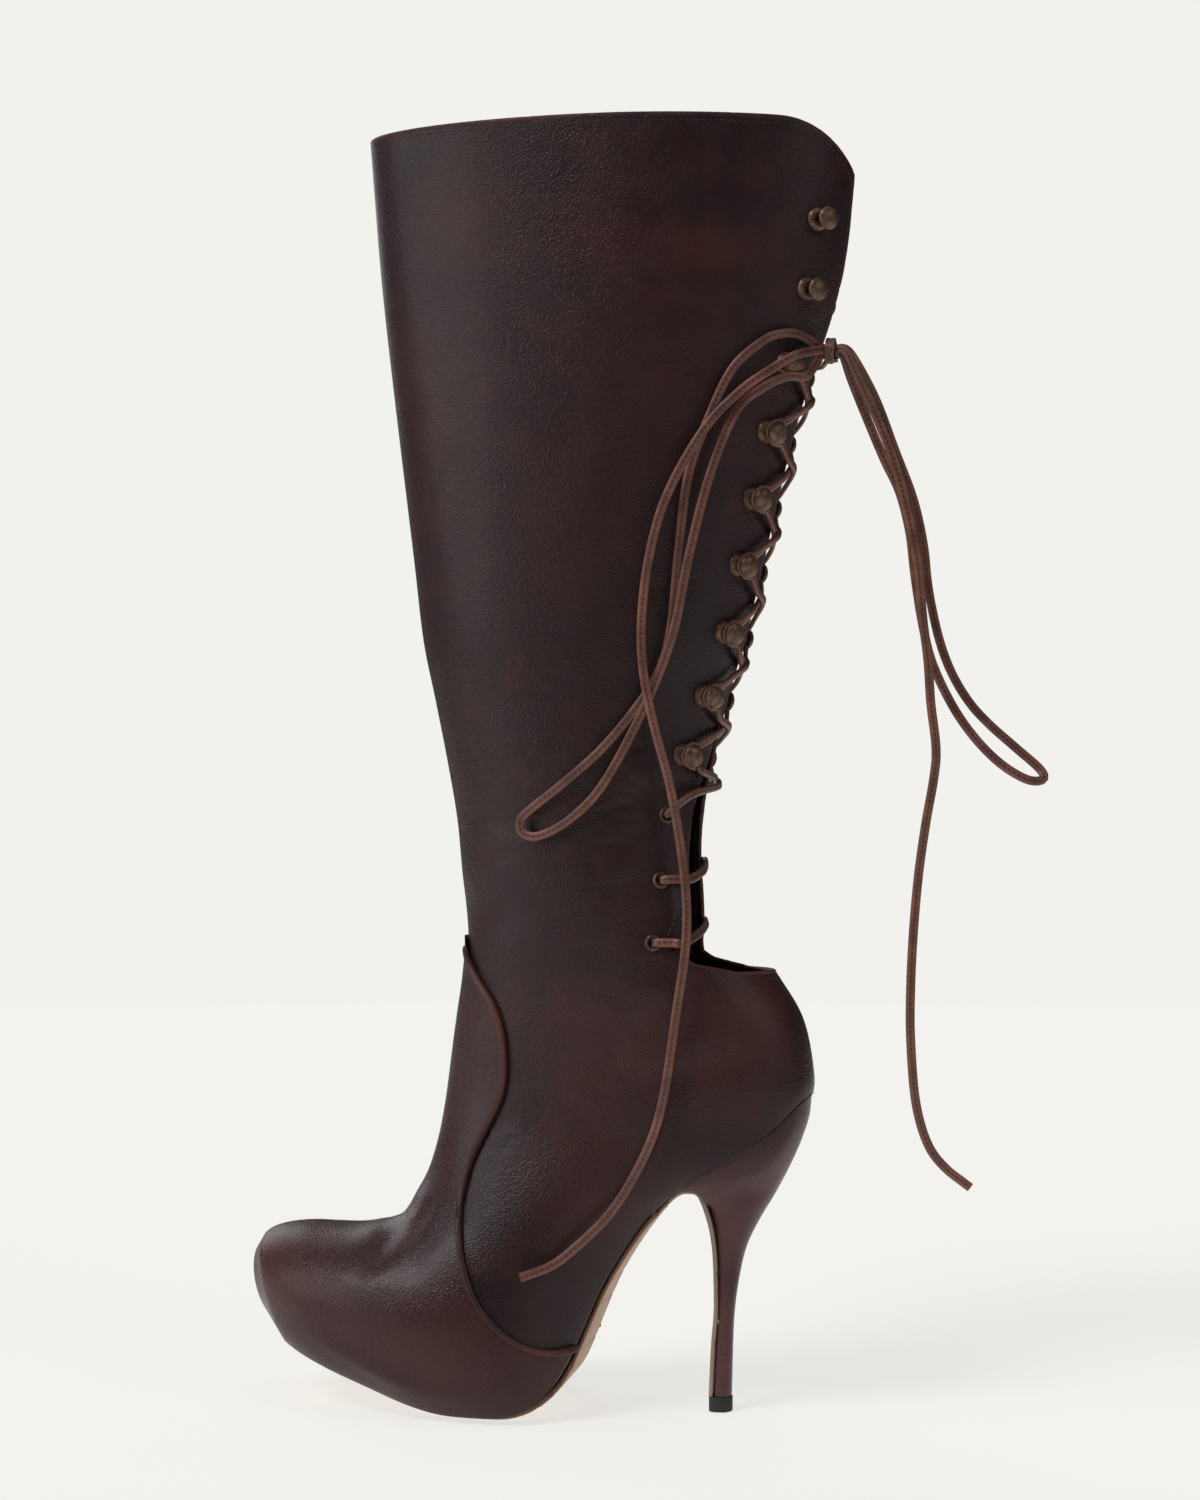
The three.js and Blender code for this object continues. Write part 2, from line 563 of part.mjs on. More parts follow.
// The heel. Its sections are level. up: share of the way from the heel tip to the seat. front,
// back: shares of COUNTER_OVERHANG from the tip's middle. width: share of SEAT_WIDTH.
const heelRows = [
  { up: 0, front: -0.068, back: 0.119, width: 0.165 },
  { up: 0.16, front: -0.043, back: 0.132, width: 0.158 },
  { up: 0.27, front: -0.014, back: 0.149, width: 0.16 },
  { up: 0.38, front: -0.011, back: 0.195, width: 0.185 },
  { up: 0.49, front: -0.022, back: 0.278, width: 0.25 },
  { up: 0.58, front: -0.06, back: 0.415, width: 0.38 },
  { up: 0.67, front: -0.16, back: 0.59, width: 0.56 },
  { up: 0.76, front: -0.36, back: 0.745, width: 0.77 },
  { up: 0.85, front: -0.5, back: 0.875, width: 0.92 },
  { up: 0.94, front: -0.55, back: 0.965, width: 1 },
  { up: 1.05, front: -0.6, back: 1, width: 1.02 },
];
const heelSections = heelRows.map(({ up, front, back, width }) => [
  lerp(HEEL_TIP_HEIGHT + GAP, HEEL_HEIGHT, up), front * COUNTER_OVERHANG, back * COUNTER_OVERHANG,
  width * SEAT_WIDTH]);

function heelAt(z) {
  const above = Math.max(heelSections.findIndex((row) => row[0] > z), 1);
  const [a, b] = [heelSections[above - 1], heelSections[above]];
  return blend(heelSections, above - 1 + (z - a[0]) / (b[0] - a[0]));
}

function levelRing([z, front, back, width], count) {
  const middle = (front + back) / 2;
  return Array.from({ length: count }, (_, i) => {
    const angle = FULL_TURN * i / count;
    const power = 2 / (Math.cos(angle) < 0 ? HEEL_FRONT_SQUARENESS : HEEL_BACK_SQUARENESS);
    const along = Math.sign(Math.cos(angle)) * Math.abs(Math.cos(angle)) ** power;
    const side = Math.sign(Math.sin(angle)) * Math.abs(Math.sin(angle)) ** power;
    return new THREE.Vector3(middle + along * (back - front) / 2, side * width / 2, z);
  });
}

// Underside of the arch, where the sole turns down the heel's front. along: share of FOOT_REACH
// from the counter's back. up: share of HEEL_HEIGHT.
const archRows = [
  { along: 0.24, up: 0.663 },
  { along: 0.223, up: 0.688 },
  { along: 0.207, up: 0.694 },
  { along: 0.192, up: 0.682 },
];
const archFrom = alongFoot(0.262);
const soleThickness = (x) => lerp(OUTSOLE, BREAST_FLAP,
  THREE.MathUtils.smoothstep(x, alongFoot(0.45), alongFoot(0.38)));
const waistUnder = offsetLine(feather, (x) => -GAP - soleThickness(x)).filter(([x]) => x < archFrom)
  .map(([x, z]) => [x, Math.max(z, 0)]);
const flapSections = heelSections.filter(([z]) => z < 0.63 * HEEL_HEIGHT).reverse();
const underCurve = new THREE.CatmullRomCurve3([
  ...waistUnder.slice(-2).map(([x, z]) => new THREE.Vector3(x, 0, z)),
  ...archRows.map(({ along, up }) => new THREE.Vector3(alongFoot(along), 0, up * HEEL_HEIGHT)),
  ...flapSections.map(([z, front]) => new THREE.Vector3(front - GAP - BREAST_FLAP, 0, z)),
]);
const archUnder = underCurve.getPoints(ARCH_STEPS).map((p) => [p.x, p.z])
  .filter(([x]) => x > waistUnder[waistUnder.length - 1][0] + 1);
const soleUnder = [...waistUnder, ...archUnder];

function outsole() {
  const widths = Array.from({ length: WIDTH_SAMPLES }, (_, k) =>
    featherCrossing(lerp(lastSection, lastLeg + 3, k / (WIDTH_SAMPLES - 1))))
    .sort((a, b) => a.x - b.x);
  const widthAt = (x) => widths.find((w) => w.x >= x) ?? widths[widths.length - 1];
  const top = offsetLine(soleUnder, soleThickness);
  const rings = soleUnder.map(([x, z], i) => {
    const { half: footHalf, swing } = widthAt(x);
    const inset = lerp(BALL_INSET, WAIST_INSET,
      THREE.MathUtils.smoothstep(x, alongFoot(0.45), alongFoot(0.36)));
    const waist = footHalf - inset;
    const side = i < waistUnder.length ? waist
      : Math.min(waist, FLAP_SHARE * heelAt(z)[3] / 2);
    const under = side - SOLE_BEVEL;
    const waistline = [(x + top[i][0]) / 2, (z + top[i][1]) / 2];
    const half = [[top[i], side - GAP], [waistline, side], [[x, z], under]];
    const other = half.map(([place, y]) => [place, -y]).reverse();
    return [...half, ...other].map(([[px, pz], y]) => new THREE.Vector3(px, swing + y, pz));
  }).filter((ring) => ring[2].y - ring[3].y > SOLE_BEVEL);
  return loft(rings, centreOf(rings[0]), centreOf(rings[rings.length - 1]));
}

function heel() {
  const rings = Array.from({ length: HEEL_RINGS }, (_, k) =>
    levelRing(blend(heelSections, k * (heelSections.length - 1) / (HEEL_RINGS - 1)), HEEL_POINTS));
  const block = toSolid(loft(rings, centreOf(rings[0]), centreOf(rings[rings.length - 1])));
  const line = offsetLine(soleUnder, (x) => soleThickness(x) + GAP).slice(waistUnder.length - 2);
  const ahead = alongFoot(1);
  const soleSide = [...line, [line[line.length - 1][0], farBelow], [ahead, farBelow],
    [ahead, line[0][1]]];
  return toGeometry(block.intersect(belowFeather(GAP))
    .subtract(toSolid(sidePrism(soleSide, bodyBreadth))));
}

function heelTip() {
  const [, front, back, width] = heelSections[0];
  const tipRow = (z) => [z, front - GAP - BREAST_FLAP, back + TIP_LIP, width + 2 * TIP_LIP];
  const rings = [tipRow(0), tipRow(HEEL_TIP_HEIGHT)].map((row) => levelRing(row, HEEL_POINTS));
  return loft(rings, centreOf(rings[0]), centreOf(rings[1]));
}

// Hooks, eyelets and lace. Each stands on the flap in a frame of its own: X to the flap's edge,
// Z out of the leather.
const laceRadius = LACE_THICKNESS / 2;
const hookLaceHeight = GAP + HOOK_BASE_THICKNESS + GAP + laceRadius;
const hookCapFrom = hookLaceHeight + laceRadius + GAP;

function lathe(profile, segments) {
  const points = profile.map(([radius, z]) => new THREE.Vector2(radius, z));
  return new THREE.LatheGeometry(points, segments).rotateX(HALF_TURN / 2);
}

function hook() {
  const top = GAP + HOOK_BASE_THICKNESS;
  const base = lathe([[0, GAP], [HOOK_BASE_RADIUS, GAP], [HOOK_BASE_RADIUS, top], [0, top]],
    RING_SIDES);
  const neckFrom = top - HOOK_BASE_THICKNESS / 2;
  const neckLength = hookCapFrom + HOOK_BASE_THICKNESS / 2 - neckFrom;
  const neck = new THREE.CylinderGeometry(HOOK_NECK_RADIUS, HOOK_NECK_RADIUS, neckLength, 6)
    .rotateX(HALF_TURN / 2).translate(HOOK_NECK_SHIFT, 0, neckFrom + neckLength / 2);
  const capTop = hookCapFrom + HOOK_CAP_HEIGHT;
  const cap = lathe([[0, hookCapFrom], [HOOK_CAP_RADIUS, hookCapFrom + 0.15 * HOOK_CAP_HEIGHT],
    [HOOK_CAP_RADIUS * 0.72, hookCapFrom + 0.8 * HOOK_CAP_HEIGHT], [0, capTop]], CAP_SIDES)
    .translate(HOOK_CAP_SHIFT, 0, 0);
  return toSolid(base).add(toSolid(neck)).add(toSolid(cap));
}

function eyelet() {
  const top = GAP + EYELET_FLANGE;
  const barrel = EYELET_HOLE_RADIUS + EYELET_BARREL;
  return lathe([[EYELET_HOLE_RADIUS, -WALL], [barrel, -WALL], [barrel, GAP], [EYELET_RADIUS, GAP],
    [EYELET_RADIUS, top], [EYELET_HOLE_RADIUS, top], [EYELET_HOLE_RADIUS, -WALL]], RING_SIDES);
}

const overFlap = (z, inset, sign, out) => offSpot(flapPlace(z, inset, sign), 0, 0, out);

function crossing(z, out) {
  // Middle of the slit, where two strands lie over each other
  const spot = flapPlace(z, 0, 1);
  const lift = Math.max(out / Math.max(spot.normal.x, 0.5), out);
  return new THREE.Vector3(spot.point.x + lift, 0, z);
}

function roundHook(i, sign) {
  // Down past the rear of the hook, round its neck under the cap, and back
  const spot = hookSpot(i, sign);
  const clear = HOOK_NECK_RADIUS + GAP + laceRadius + LACE_SLACK;
  return [
    offSpot(spot, HOOK_NECK_SHIFT + LACE_TAIL, clear + GAP, hookLaceHeight),
    offSpot(spot, HOOK_NECK_SHIFT - clear / 6, clear, hookLaceHeight),
    offSpot(spot, HOOK_NECK_SHIFT - clear, 0, hookLaceHeight),
    offSpot(spot, HOOK_NECK_SHIFT - clear / 6, -clear, hookLaceHeight),
    offSpot(spot, HOOK_NECK_SHIFT + LACE_TAIL, -clear - GAP, hookLaceHeight),
  ];
}

function lace(points, step = LACE_STEP) {
  const curve = new THREE.CatmullRomCurve3(points, false, 'centripetal');
  return tube(curve, laceRadius, LACE_SIDES, Math.round(curve.getLength() / step));
}

const eyeletLaceHeight = GAP + EYELET_FLANGE + GAP + laceRadius;
const laceOut = laceRadius + GAP + LACE_LIFT;

function lacing() {
  // Two strands change sides below each laced hook, and end over the top eyelets
  const solids = sides.map(({ sign: first }) => {
    const path = [];
    const top = hookHeights[freeHookUps.length] + LACE_RISE;
    if (first > 0) {
      path.push(crossing(top, laceOut + LACE_LIFT));
      path.push(overFlap(top, FLAP_REACH, first, laceOut + LACE_LIFT / 2));
    }
    let sign = first;
    for (let i = freeHookUps.length; i <= lastHook; i += 1) {
      const z = hookHeights[i];
      const next = hookHeights[i + 1] ?? eyeletHeights(-sign)[0];
      path.push(...roundHook(i, sign));
      const out = i < lastHook ? laceOut : laceOut + LACE_LIFT;
      path.push(overFlap(lerp(z, next, 0.34), FLAP_REACH, sign, out));
      path.push(crossing(lerp(z, next, 0.5), out));
      path.push(overFlap(lerp(z, next, 0.66), FLAP_REACH, -sign, out));
      sign = -sign;
    }
    path.push(overFlap(eyeletHeights(sign)[0], EYELET_INSET, sign, eyeletLaceHeight));
    return toSolid(lace(path));
  });
  return toGeometry(solids[0].add(solids[1]));
}

function laceBar(row) {
  // From one flap's eyelet over the gap to the other's
  const [outer, inner] = sides.map(({ sign }) => {
    const z = eyeletHeights(sign)[row];
    return [
      overFlap(z, EYELET_INSET, sign, eyeletLaceHeight),
      overFlap(z, FLAP_REACH, sign, laceOut + LACE_LIFT / 2),
      overFlap(z, SLIT_WIDTH / 6, sign, laceOut),
    ];
  });
  const middle = outer[2].clone().add(inner[2]).divideScalar(2);
  middle.x += BAR_BOW;
  return toGeometry(toSolid(lace([...outer, middle, ...inner.reverse()])));
}

// The bow hangs free. Its points are chosen by hand, in millimetres in the modelling frame.
const bow = {
  bow_knot: [[42.4, -9.7, 417.2], [42.8, -12.4, 420.6], [43.5, -9.8, 424.4], [44.2, -7.1, 420.9],
    [44.9, -9.7, 417.2], [45.6, -12.4, 420.8], [46.3, -9.8, 424.4], [47, -7.1, 421],
    [47.6, -9.7, 417.4]],
  bow_loop_left: [[40.6, -10.6, 423.4], [37, -15, 425.2], [32.5, -20, 426], [27, -25, 425.5],
    [20, -29, 422], [9, -34, 411], [0, -36, 392], [-8, -36, 370], [-12, -35, 340],
    [-15, -34, 312], [-19, -34, 296], [-27, -35, 282], [-42, -36, 264], [-58, -36, 250],
    [-70, -34, 241], [-75, -33, 236], [-74, -33, 231], [-67, -34, 230], [-54, -36, 237],
    [-41, -36, 251], [-25, -35, 281], [-14, -36, 309], [-8, -37, 337], [0, -37, 368],
    [10, -34, 394], [20, -28.5, 404], [29, -23, 409], [36, -19.5, 409.5], [39.6, -15, 412.5],
    [40.6, -11.8, 416.2]],
  bow_loop_right: [[49.6, -7.6, 417], [52.5, -4.5, 410], [58, -2, 396], [65, 0, 379],
    [71, 2, 366], [75, 3, 350], [77, 3, 333], [80, 2, 314], [84, 1, 298], [92, 0, 281],
    [101, 0, 268], [111, 0, 258], [121, 1, 252], [127, 3, 252], [126, 6, 256], [116, 7, 265],
    [106, 7, 274], [98, 7, 283], [91, 8, 295], [86, 9, 309], [82, 10, 328], [80, 9, 346],
    [76, 8, 364], [69, 6, 383], [62, 3, 402], [55.5, -2, 415], [51.5, -5, 421],
    [48.7, -6.6, 423.4]],
  lace_end_left: [[42.2, -13.7, 420.5], [40.3, -21.5, 419.6], [33, -28, 416.5], [24, -31, 411],
    [12, -35, 402], [-2, -40, 386], [-16, -41, 361], [-23, -40, 337], [-26, -39, 312],
    [-25, -39, 292], [-21, -38, 272], [-15, -34, 247], [-10, -32, 213], [-9, -36, 189],
    [-13, -37, 159], [-18, -37, 127], [-25, -37, 106], [-38, -38, 84], [-54, -41, 68],
    [-63, -44, 62], [-72, -48, 59]],
  lace_end_right: [[48.7, -11.2, 421.9], [51.5, -12, 418], [56, -13, 409], [63, -15, 394],
    [70, -16, 376], [75, -16, 357], [79, -15, 337], [81, -13, 315], [83, -12, 298],
    [84, -11, 282], [86, -10, 264], [85, -9, 252], [82, -9, 235], [79, -8, 214], [77, -8, 191],
    [76, -8, 170], [76, -8, 150], [78, -7, 125], [83, -6, 108], [91, -5, 98], [99, -4, 92]],
};

// Assembly
const leather = (color, roughness = 0.42) =>
  new THREE.MeshStandardMaterial({ color, roughness, metalness: 0 });
const materials = {
  legLeather: leather(0x3a2420),
  vampLeather: leather(0x3c2523, 0.36),
  bindingLeather: leather(0x50291d, 0.45),
  heelLeather: leather(0x4c2c28, 0.35),
  soleLeather: leather(0xb98a66, 0.6),
  liningLeather: leather(0x171313, 0.8),
  rubber: leather(0x161616, 0.7),
  laceLeather: leather(0x6b3a2b, 0.6),
  brass: new THREE.MeshStandardMaterial({ color: 0x5a4a38, roughness: 0.5, metalness: 0.8 }),
};

const boot = new THREE.Group();
const cords = new THREE.Group();
function add(group, name, geometry, material) {
  const mesh = new THREE.Mesh(geometry, material);
  mesh.name = name;
  group.add(mesh);
  return mesh;
}

add(boot, 'upper', upper(), materials.legLeather);
add(boot, 'vamp', vamp(), materials.vampLeather);
add(boot, 'vamp_binding', vampBinding(), materials.bindingLeather);
add(boot, 'insole', insole(), materials.liningLeather);
add(boot, 'outsole', outsole(), materials.soleLeather);
add(boot, 'heel', heel(), materials.heelLeather);
add(boot, 'heel_tip', heelTip(), materials.rubber);

for (const { name, sign } of sides) {
  hookHeights.forEach((_, i) => {
    const mesh = add(boot, `hook_${name}_${i + 1}`, toGeometry(hook()), materials.brass);
    frameOf(hookSpot(i, sign), sign).decompose(mesh.position, mesh.quaternion, mesh.scale);
  });
  eyeletHeights(sign).forEach((z, i) => {
    const mesh = add(boot, `eyelet_${name}_${i + 1}`, eyelet(), materials.brass);
    frameOf(flapPlace(z, EYELET_INSET, sign), sign)
      .decompose(mesh.position, mesh.quaternion, mesh.scale);
  });
}

add(boot, 'lacing', lacing(), materials.laceLeather);
add(boot, 'lace_bar_1', laceBar(1), materials.laceLeather);
add(boot, 'lace_bar_2', laceBar(2), materials.laceLeather);

for (const [name, points] of Object.entries(bow)) {
  const step = name === 'bow_knot' ? LACE_STEP / 2 : BOW_STEP;
  const path = points.map((point) => new THREE.Vector3(...point));
  add(cords, name, lace(path, step), materials.laceLeather);
}

// The origin is on the floor, under the middle of everything but the free lace
const box = new THREE.Box3().setFromObject(boot);
const middle = box.getCenter(new THREE.Vector3());
const whole = new THREE.Group();
whole.add(boot, cords);
whole.position.set(-middle.x, -middle.y, 0);

export default whole;
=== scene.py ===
"""Corset-back boot: the looks of a left knee boot that laces up the back of the leg."""

import math

import bpy
from mathutils import Matrix, Vector

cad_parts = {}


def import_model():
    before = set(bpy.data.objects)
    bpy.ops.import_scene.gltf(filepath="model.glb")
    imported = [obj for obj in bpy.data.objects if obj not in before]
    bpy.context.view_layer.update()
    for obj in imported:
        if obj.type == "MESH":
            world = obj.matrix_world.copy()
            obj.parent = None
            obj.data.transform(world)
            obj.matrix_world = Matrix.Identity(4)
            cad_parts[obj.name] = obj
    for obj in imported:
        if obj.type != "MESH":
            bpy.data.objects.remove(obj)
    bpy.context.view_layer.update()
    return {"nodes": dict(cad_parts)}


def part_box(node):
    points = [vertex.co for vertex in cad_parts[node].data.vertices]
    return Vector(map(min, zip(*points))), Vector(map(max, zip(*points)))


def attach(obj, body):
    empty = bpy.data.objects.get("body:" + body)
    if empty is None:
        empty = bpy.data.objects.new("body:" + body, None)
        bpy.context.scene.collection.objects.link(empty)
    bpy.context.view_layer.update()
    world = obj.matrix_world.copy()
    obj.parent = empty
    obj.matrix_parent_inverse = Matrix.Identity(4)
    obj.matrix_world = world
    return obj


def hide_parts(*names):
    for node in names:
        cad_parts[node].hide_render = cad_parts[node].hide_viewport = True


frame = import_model()

bl_info = {
    "name": "Corset-back boot",
    "version": (1, 0, 0),
    "blender": (4, 5, 0),
    "location": "3D View > Sidebar > Boot",
    "description": "Builds the leather, lace, hooks and stage of a corset-back boot",
    "category": "Add Mesh",
}

MM = 0.001
TAU = 2 * math.pi

# Sizes that the solids have too, in millimetres
FOOT_REACH = 231
COUNTER_OVERHANG = 37
HEEL_HEIGHT = 127
INSTEP_HEIGHT = 200
BALL_WIDTH = 92
BOOT_HEIGHT = 513
COLLAR_DEPTH = 200
COLLAR_WIDTH = 76
COLLAR_CORNER = 30
COLLAR_DROP = 3.5
SLIT_WIDTH = 3
SCOOP_WIDTH = 56
SCOOP_HEIGHT = 175.5
WALL = 2
GAP = 0.3
VAMP_LEATHER = 1.3
BINDING_HEIGHT = 2.2
BINDING_WIDTH = 2.6
OUTSOLE = 2.5
BREAST_FLAP = 1.8
HEEL_TIP_HEIGHT = 6
TIP_LIP = 0.3
SEAT_WIDTH = 56
BALL_INSET = 7
WAIST_INSET = 1
FLAP_SHARE = 0.96
HOOK_HEIGHTS = [471, 444, 415, 388.5, 362.5, 336.5, 310, 285, 261.5]
HOOK_INSET = 20
LOWEST_HOOK_INSET = 15
HOOK_BASE_RADIUS = 4.6
HOOK_BASE_THICKNESS = 0.9
HOOK_CAP_RADIUS = 3.9
HOOK_CAP_HEIGHT = 2.8
HOOK_NECK_SHIFT = 2.6
HOOK_CAP_SHIFT = 1.8
HOOK_NECK_RADIUS = 1.2
EYELET_HEIGHTS = [238, 212.5, 187.5]
INNER_EYELET_RISE = 6
EYELET_INSET = 12
EYELET_RADIUS = 3.4
EYELET_HOLE_RADIUS = 1.8
EYELET_FLANGE = 0.9
LACE_SOLID = 2.4
LACE_SLACK = 1.2
LACE_LIFT = 1.4
LACE_RISE = 4
LACED_FROM = 2
BAR_BOW = 2

# Level sections of the leg, as shares: height up the leg, front and back of COLLAR_DEPTH from the
# leg's axis, and width of COLLAR_WIDTH
LEG_AXIS = 0.398
LEG_ROWS = [
    (1.03, 0.451, 0.556, 0.99),
    (0.863, 0.43, 0.532, 1.026),
    (0.767, 0.415, 0.502, 1.04),
    (0.623, 0.388, 0.428, 1.04),
    (0.454, 0.355, 0.363, 1.0),
    (0.348, 0.335, 0.324, 0.96),
    (0.271, 0.31, 0.288, 0.92),
    (0.192, 0.285, 0.264, 0.895),
    (0.115, 0.264, 0.262, 0.87),
    (0.048, 0.254, 0.275, 0.868),
    (0.0, 0.245, 0.31, 0.868),
]

# Sections of the foot, from level at the ankle to upright at the toe: front along and up, back
# along and up, width, swing, where it is widest, how square its halves are, and the nose's share
FOOT_ROWS = [
    (0.606, 0.93, 0.069, 1.394, 0.707, 0, 0.53, 2, 2, 0),
    (0.611, 0.86, 0.019, 1.244, 0.696, 0, 0.56, 2, 2, 0),
    (0.62, 0.79, 0.0, 1.087, 0.685, 0, 0.58, 2, 2.1, 0),
    (0.628, 0.725, 0.002, 0.994, 0.674, 0, 0.6, 2, 2.3, 0),
    (0.635, 0.665, 0.032, 0.898, 0.674, 0, 0.6, 1.9, 2.6, 0),
    (0.643, 0.6, 0.072, 0.799, 0.674, 0, 0.6, 1.9, 3.0, 0),
    (0.654, 0.533, 0.179, 0.715, 0.685, -0.005, 0.6, 1.9, 2.8, 0),
    (0.67, 0.471, 0.251, 0.606, 0.717, -0.011, 0.55, 1.9, 2.2, 0),
    (0.689, 0.427, 0.313, 0.441, 0.783, -0.016, 0.52, 1.9, 2.0, 0),
    (0.712, 0.384, 0.357, 0.269, 0.87, -0.022, 0.5, 2, 2.1, 0),
    (0.74, 0.364, 0.394, 0.105, 0.946, -0.022, 0.5, 2, 2.6, 0),
    (0.771, 0.355, 0.442, -0.014, 0.989, -0.016, 0.5, 2.1, 3.4, 0),
    (0.81, 0.349, 0.52, -0.04, 1.0, 0, 0.5, 2.1, 4.0, 0.1),
    (0.853, 0.347, 0.624, -0.027, 0.967, 0.022, 0.5, 2.1, 4.0, 0.25),
    (0.9, 0.346, 0.724, 0.027, 0.891, 0.043, 0.5, 2.1, 3.6, 0.4),
    (0.944, 0.338, 0.824, 0.079, 0.77, 0.065, 0.5, 2.1, 3.2, 0.6),
    (0.973, 0.323, 0.908, 0.15, 0.6, 0.082, 0.5, 2.1, 2.6, 0.8),
    (0.989, 0.295, 0.962, 0.262, 0.38, 0.092, 0.5, 2, 2.2, 1),
]
TOE_TIP = (0.996, 0.235, 0.095)

# Edge where the upper meets the sole, seen from the side, from the counter to the toe
FEATHER = [
    (-0.05, 1.045), (0.004, 0.978), (0.058, 0.881), (0.106, 0.817), (0.156, 0.768),
    (0.203, 0.7165), (0.242, 0.6575), (0.279, 0.589), (0.317, 0.494), (0.354, 0.38),
    (0.387, 0.242), (0.411, 0.143), (0.433, 0.08), (0.463, 0.032), (0.495, 0.008), (0.525, 0),
    (0.567, 0), (0.61, 0), (0.645, 0.008), (0.706, 0.035), (0.766, 0.071), (0.831, 0.11),
    (0.887, 0.146), (0.948, 0.192),
]

# Half of the cut-out and the slit, seen from behind: height, and half width as a share
SCOOP = [
    (0, 0.33), (0.07, 0.42), (0.2, 0.48), (0.5, 0.465), (1, 0.4), (1.5, 0.33), (2, 0.295),
    (2.55, 0.255), (3.05, 0.195), (3.55, 0.105), (4.25, 0.035), (5.1, 0),
]

# The vamp's edge, seen from the side, from the instep's peak to the sole
VAMP_EDGE = [
    (0.63, 0.957), (0.608, 0.951), (0.602, 0.936), (0.591, 0.907), (0.567, 0.865),
    (0.537, 0.818), (0.519, 0.765), (0.513, 0.71), (0.514, 0.66), (0.526, 0.61), (0.552, 0.55),
    (0.574, 0.492), (0.584, 0.423), (0.579, 0.356), (0.566, 0.299), (0.543, 0.24),
    (0.503, 0.188), (0.461, 0.158), (0.418, 0.148), (0.384, 0.159), (0.35, 0.19),
]

# Heel, level sections: height, front and back of COUNTER_OVERHANG, and width of SEAT_WIDTH
HEEL_ROWS = [
    (0, -0.068, 0.119, 0.165), (0.16, -0.043, 0.132, 0.158), (0.27, -0.014, 0.149, 0.16),
    (0.38, -0.011, 0.195, 0.185), (0.49, -0.022, 0.278, 0.25), (0.58, -0.06, 0.415, 0.38),
    (0.67, -0.16, 0.59, 0.56), (0.76, -0.36, 0.745, 0.77), (0.85, -0.5, 0.875, 0.92),
    (0.94, -0.55, 0.965, 1), (1.05, -0.6, 1, 1.02),
]
ARCH = [(0.24, 0.663), (0.223, 0.688), (0.207, 0.694), (0.192, 0.682)]

# The bow's routes, as in the solids
BOW = {
    "bow_knot": [
        (42.4, -9.7, 417.2), (42.8, -12.4, 420.6), (43.5, -9.8, 424.4), (44.2, -7.1, 420.9),
        (44.9, -9.7, 417.2), (45.6, -12.4, 420.8), (46.3, -9.8, 424.4), (47, -7.1, 421),
        (47.6, -9.7, 417.4),
    ],
    "bow_loop_left": [
        (40.6, -10.6, 423.4), (37, -15, 425.2), (32.5, -20, 426), (27, -25, 425.5),
        (20, -29, 422), (9, -34, 411), (0, -36, 392), (-8, -36, 370), (-12, -35, 340),
        (-15, -34, 312), (-19, -34, 296), (-27, -35, 282), (-42, -36, 264), (-58, -36, 250),
        (-70, -34, 241), (-75, -33, 236), (-74, -33, 231), (-67, -34, 230), (-54, -36, 237),
        (-41, -36, 251), (-25, -35, 281), (-14, -36, 309), (-8, -37, 337), (0, -37, 368),
        (10, -34, 394), (20, -28.5, 404), (29, -23, 409), (36, -19.5, 409.5),
        (39.6, -15, 412.5), (40.6, -11.8, 416.2),
    ],
    "bow_loop_right": [
        (49.6, -7.6, 417), (52.5, -4.5, 410), (58, -2, 396), (65, 0, 379), (71, 2, 366),
        (75, 3, 350), (77, 3, 333), (80, 2, 314), (84, 1, 298), (92, 0, 281), (101, 0, 268),
        (111, 0, 258), (121, 1, 252), (127, 3, 252), (126, 6, 256), (116, 7, 265),
        (106, 7, 274), (98, 7, 283), (91, 8, 295), (86, 9, 309), (82, 10, 328), (80, 9, 346),
        (76, 8, 364), (69, 6, 383), (62, 3, 402), (55.5, -2, 415), (51.5, -5, 421),
        (48.7, -6.6, 423.4),
    ],
    "lace_end_left": [
        (42.2, -13.7, 420.5), (40.3, -21.5, 419.6), (33, -28, 416.5), (24, -31, 411),
        (12, -35, 402), (-2, -40, 386), (-16, -41, 361), (-23, -40, 337), (-26, -39, 312),
        (-25, -39, 292), (-21, -38, 272), (-15, -34, 247), (-10, -32, 213), (-9, -36, 189),
        (-13, -37, 159), (-18, -37, 127), (-25, -37, 106), (-38, -38, 84), (-54, -41, 68),
        (-63, -44, 62), (-72, -48, 59),
    ],
    "lace_end_right": [
        (48.7, -11.2, 421.9), (51.5, -12, 418), (56, -13, 409), (63, -15, 394),
        (70, -16, 376), (75, -16, 357), (79, -15, 337), (81, -13, 315), (83, -12, 298),
        (84, -11, 282), (86, -10, 264), (85, -9, 252), (82, -9, 235), (79, -8, 214),
        (77, -8, 191), (76, -8, 170), (76, -8, 150), (78, -7, 125), (83, -6, 108),
        (91, -5, 98), (99, -4, 92),
    ],
}

# Where the modelled boot stands in the frame: its heel tip is on the frame's heel tip
TIP_LOW, TIP_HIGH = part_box("heel_tip")
TIP_FRONT = HEEL_ROWS[0][1] * COUNTER_OVERHANG - GAP - BREAST_FLAP
SHIFT = Vector((TIP_LOW[0] / MM - TIP_FRONT, (TIP_LOW[1] + TIP_HIGH[1]) / 2 / MM, 0))


def world(point):
    """A point of the boot, in millimetres, as a place in the frame, in metres."""
    return (Vector(point) + SHIFT) * MM


# Lines and sections of the boot

def along_foot(share):
    return COUNTER_OVERHANG - share * FOOT_REACH


def lerp(a, b, share):
    return a + (b - a) * share


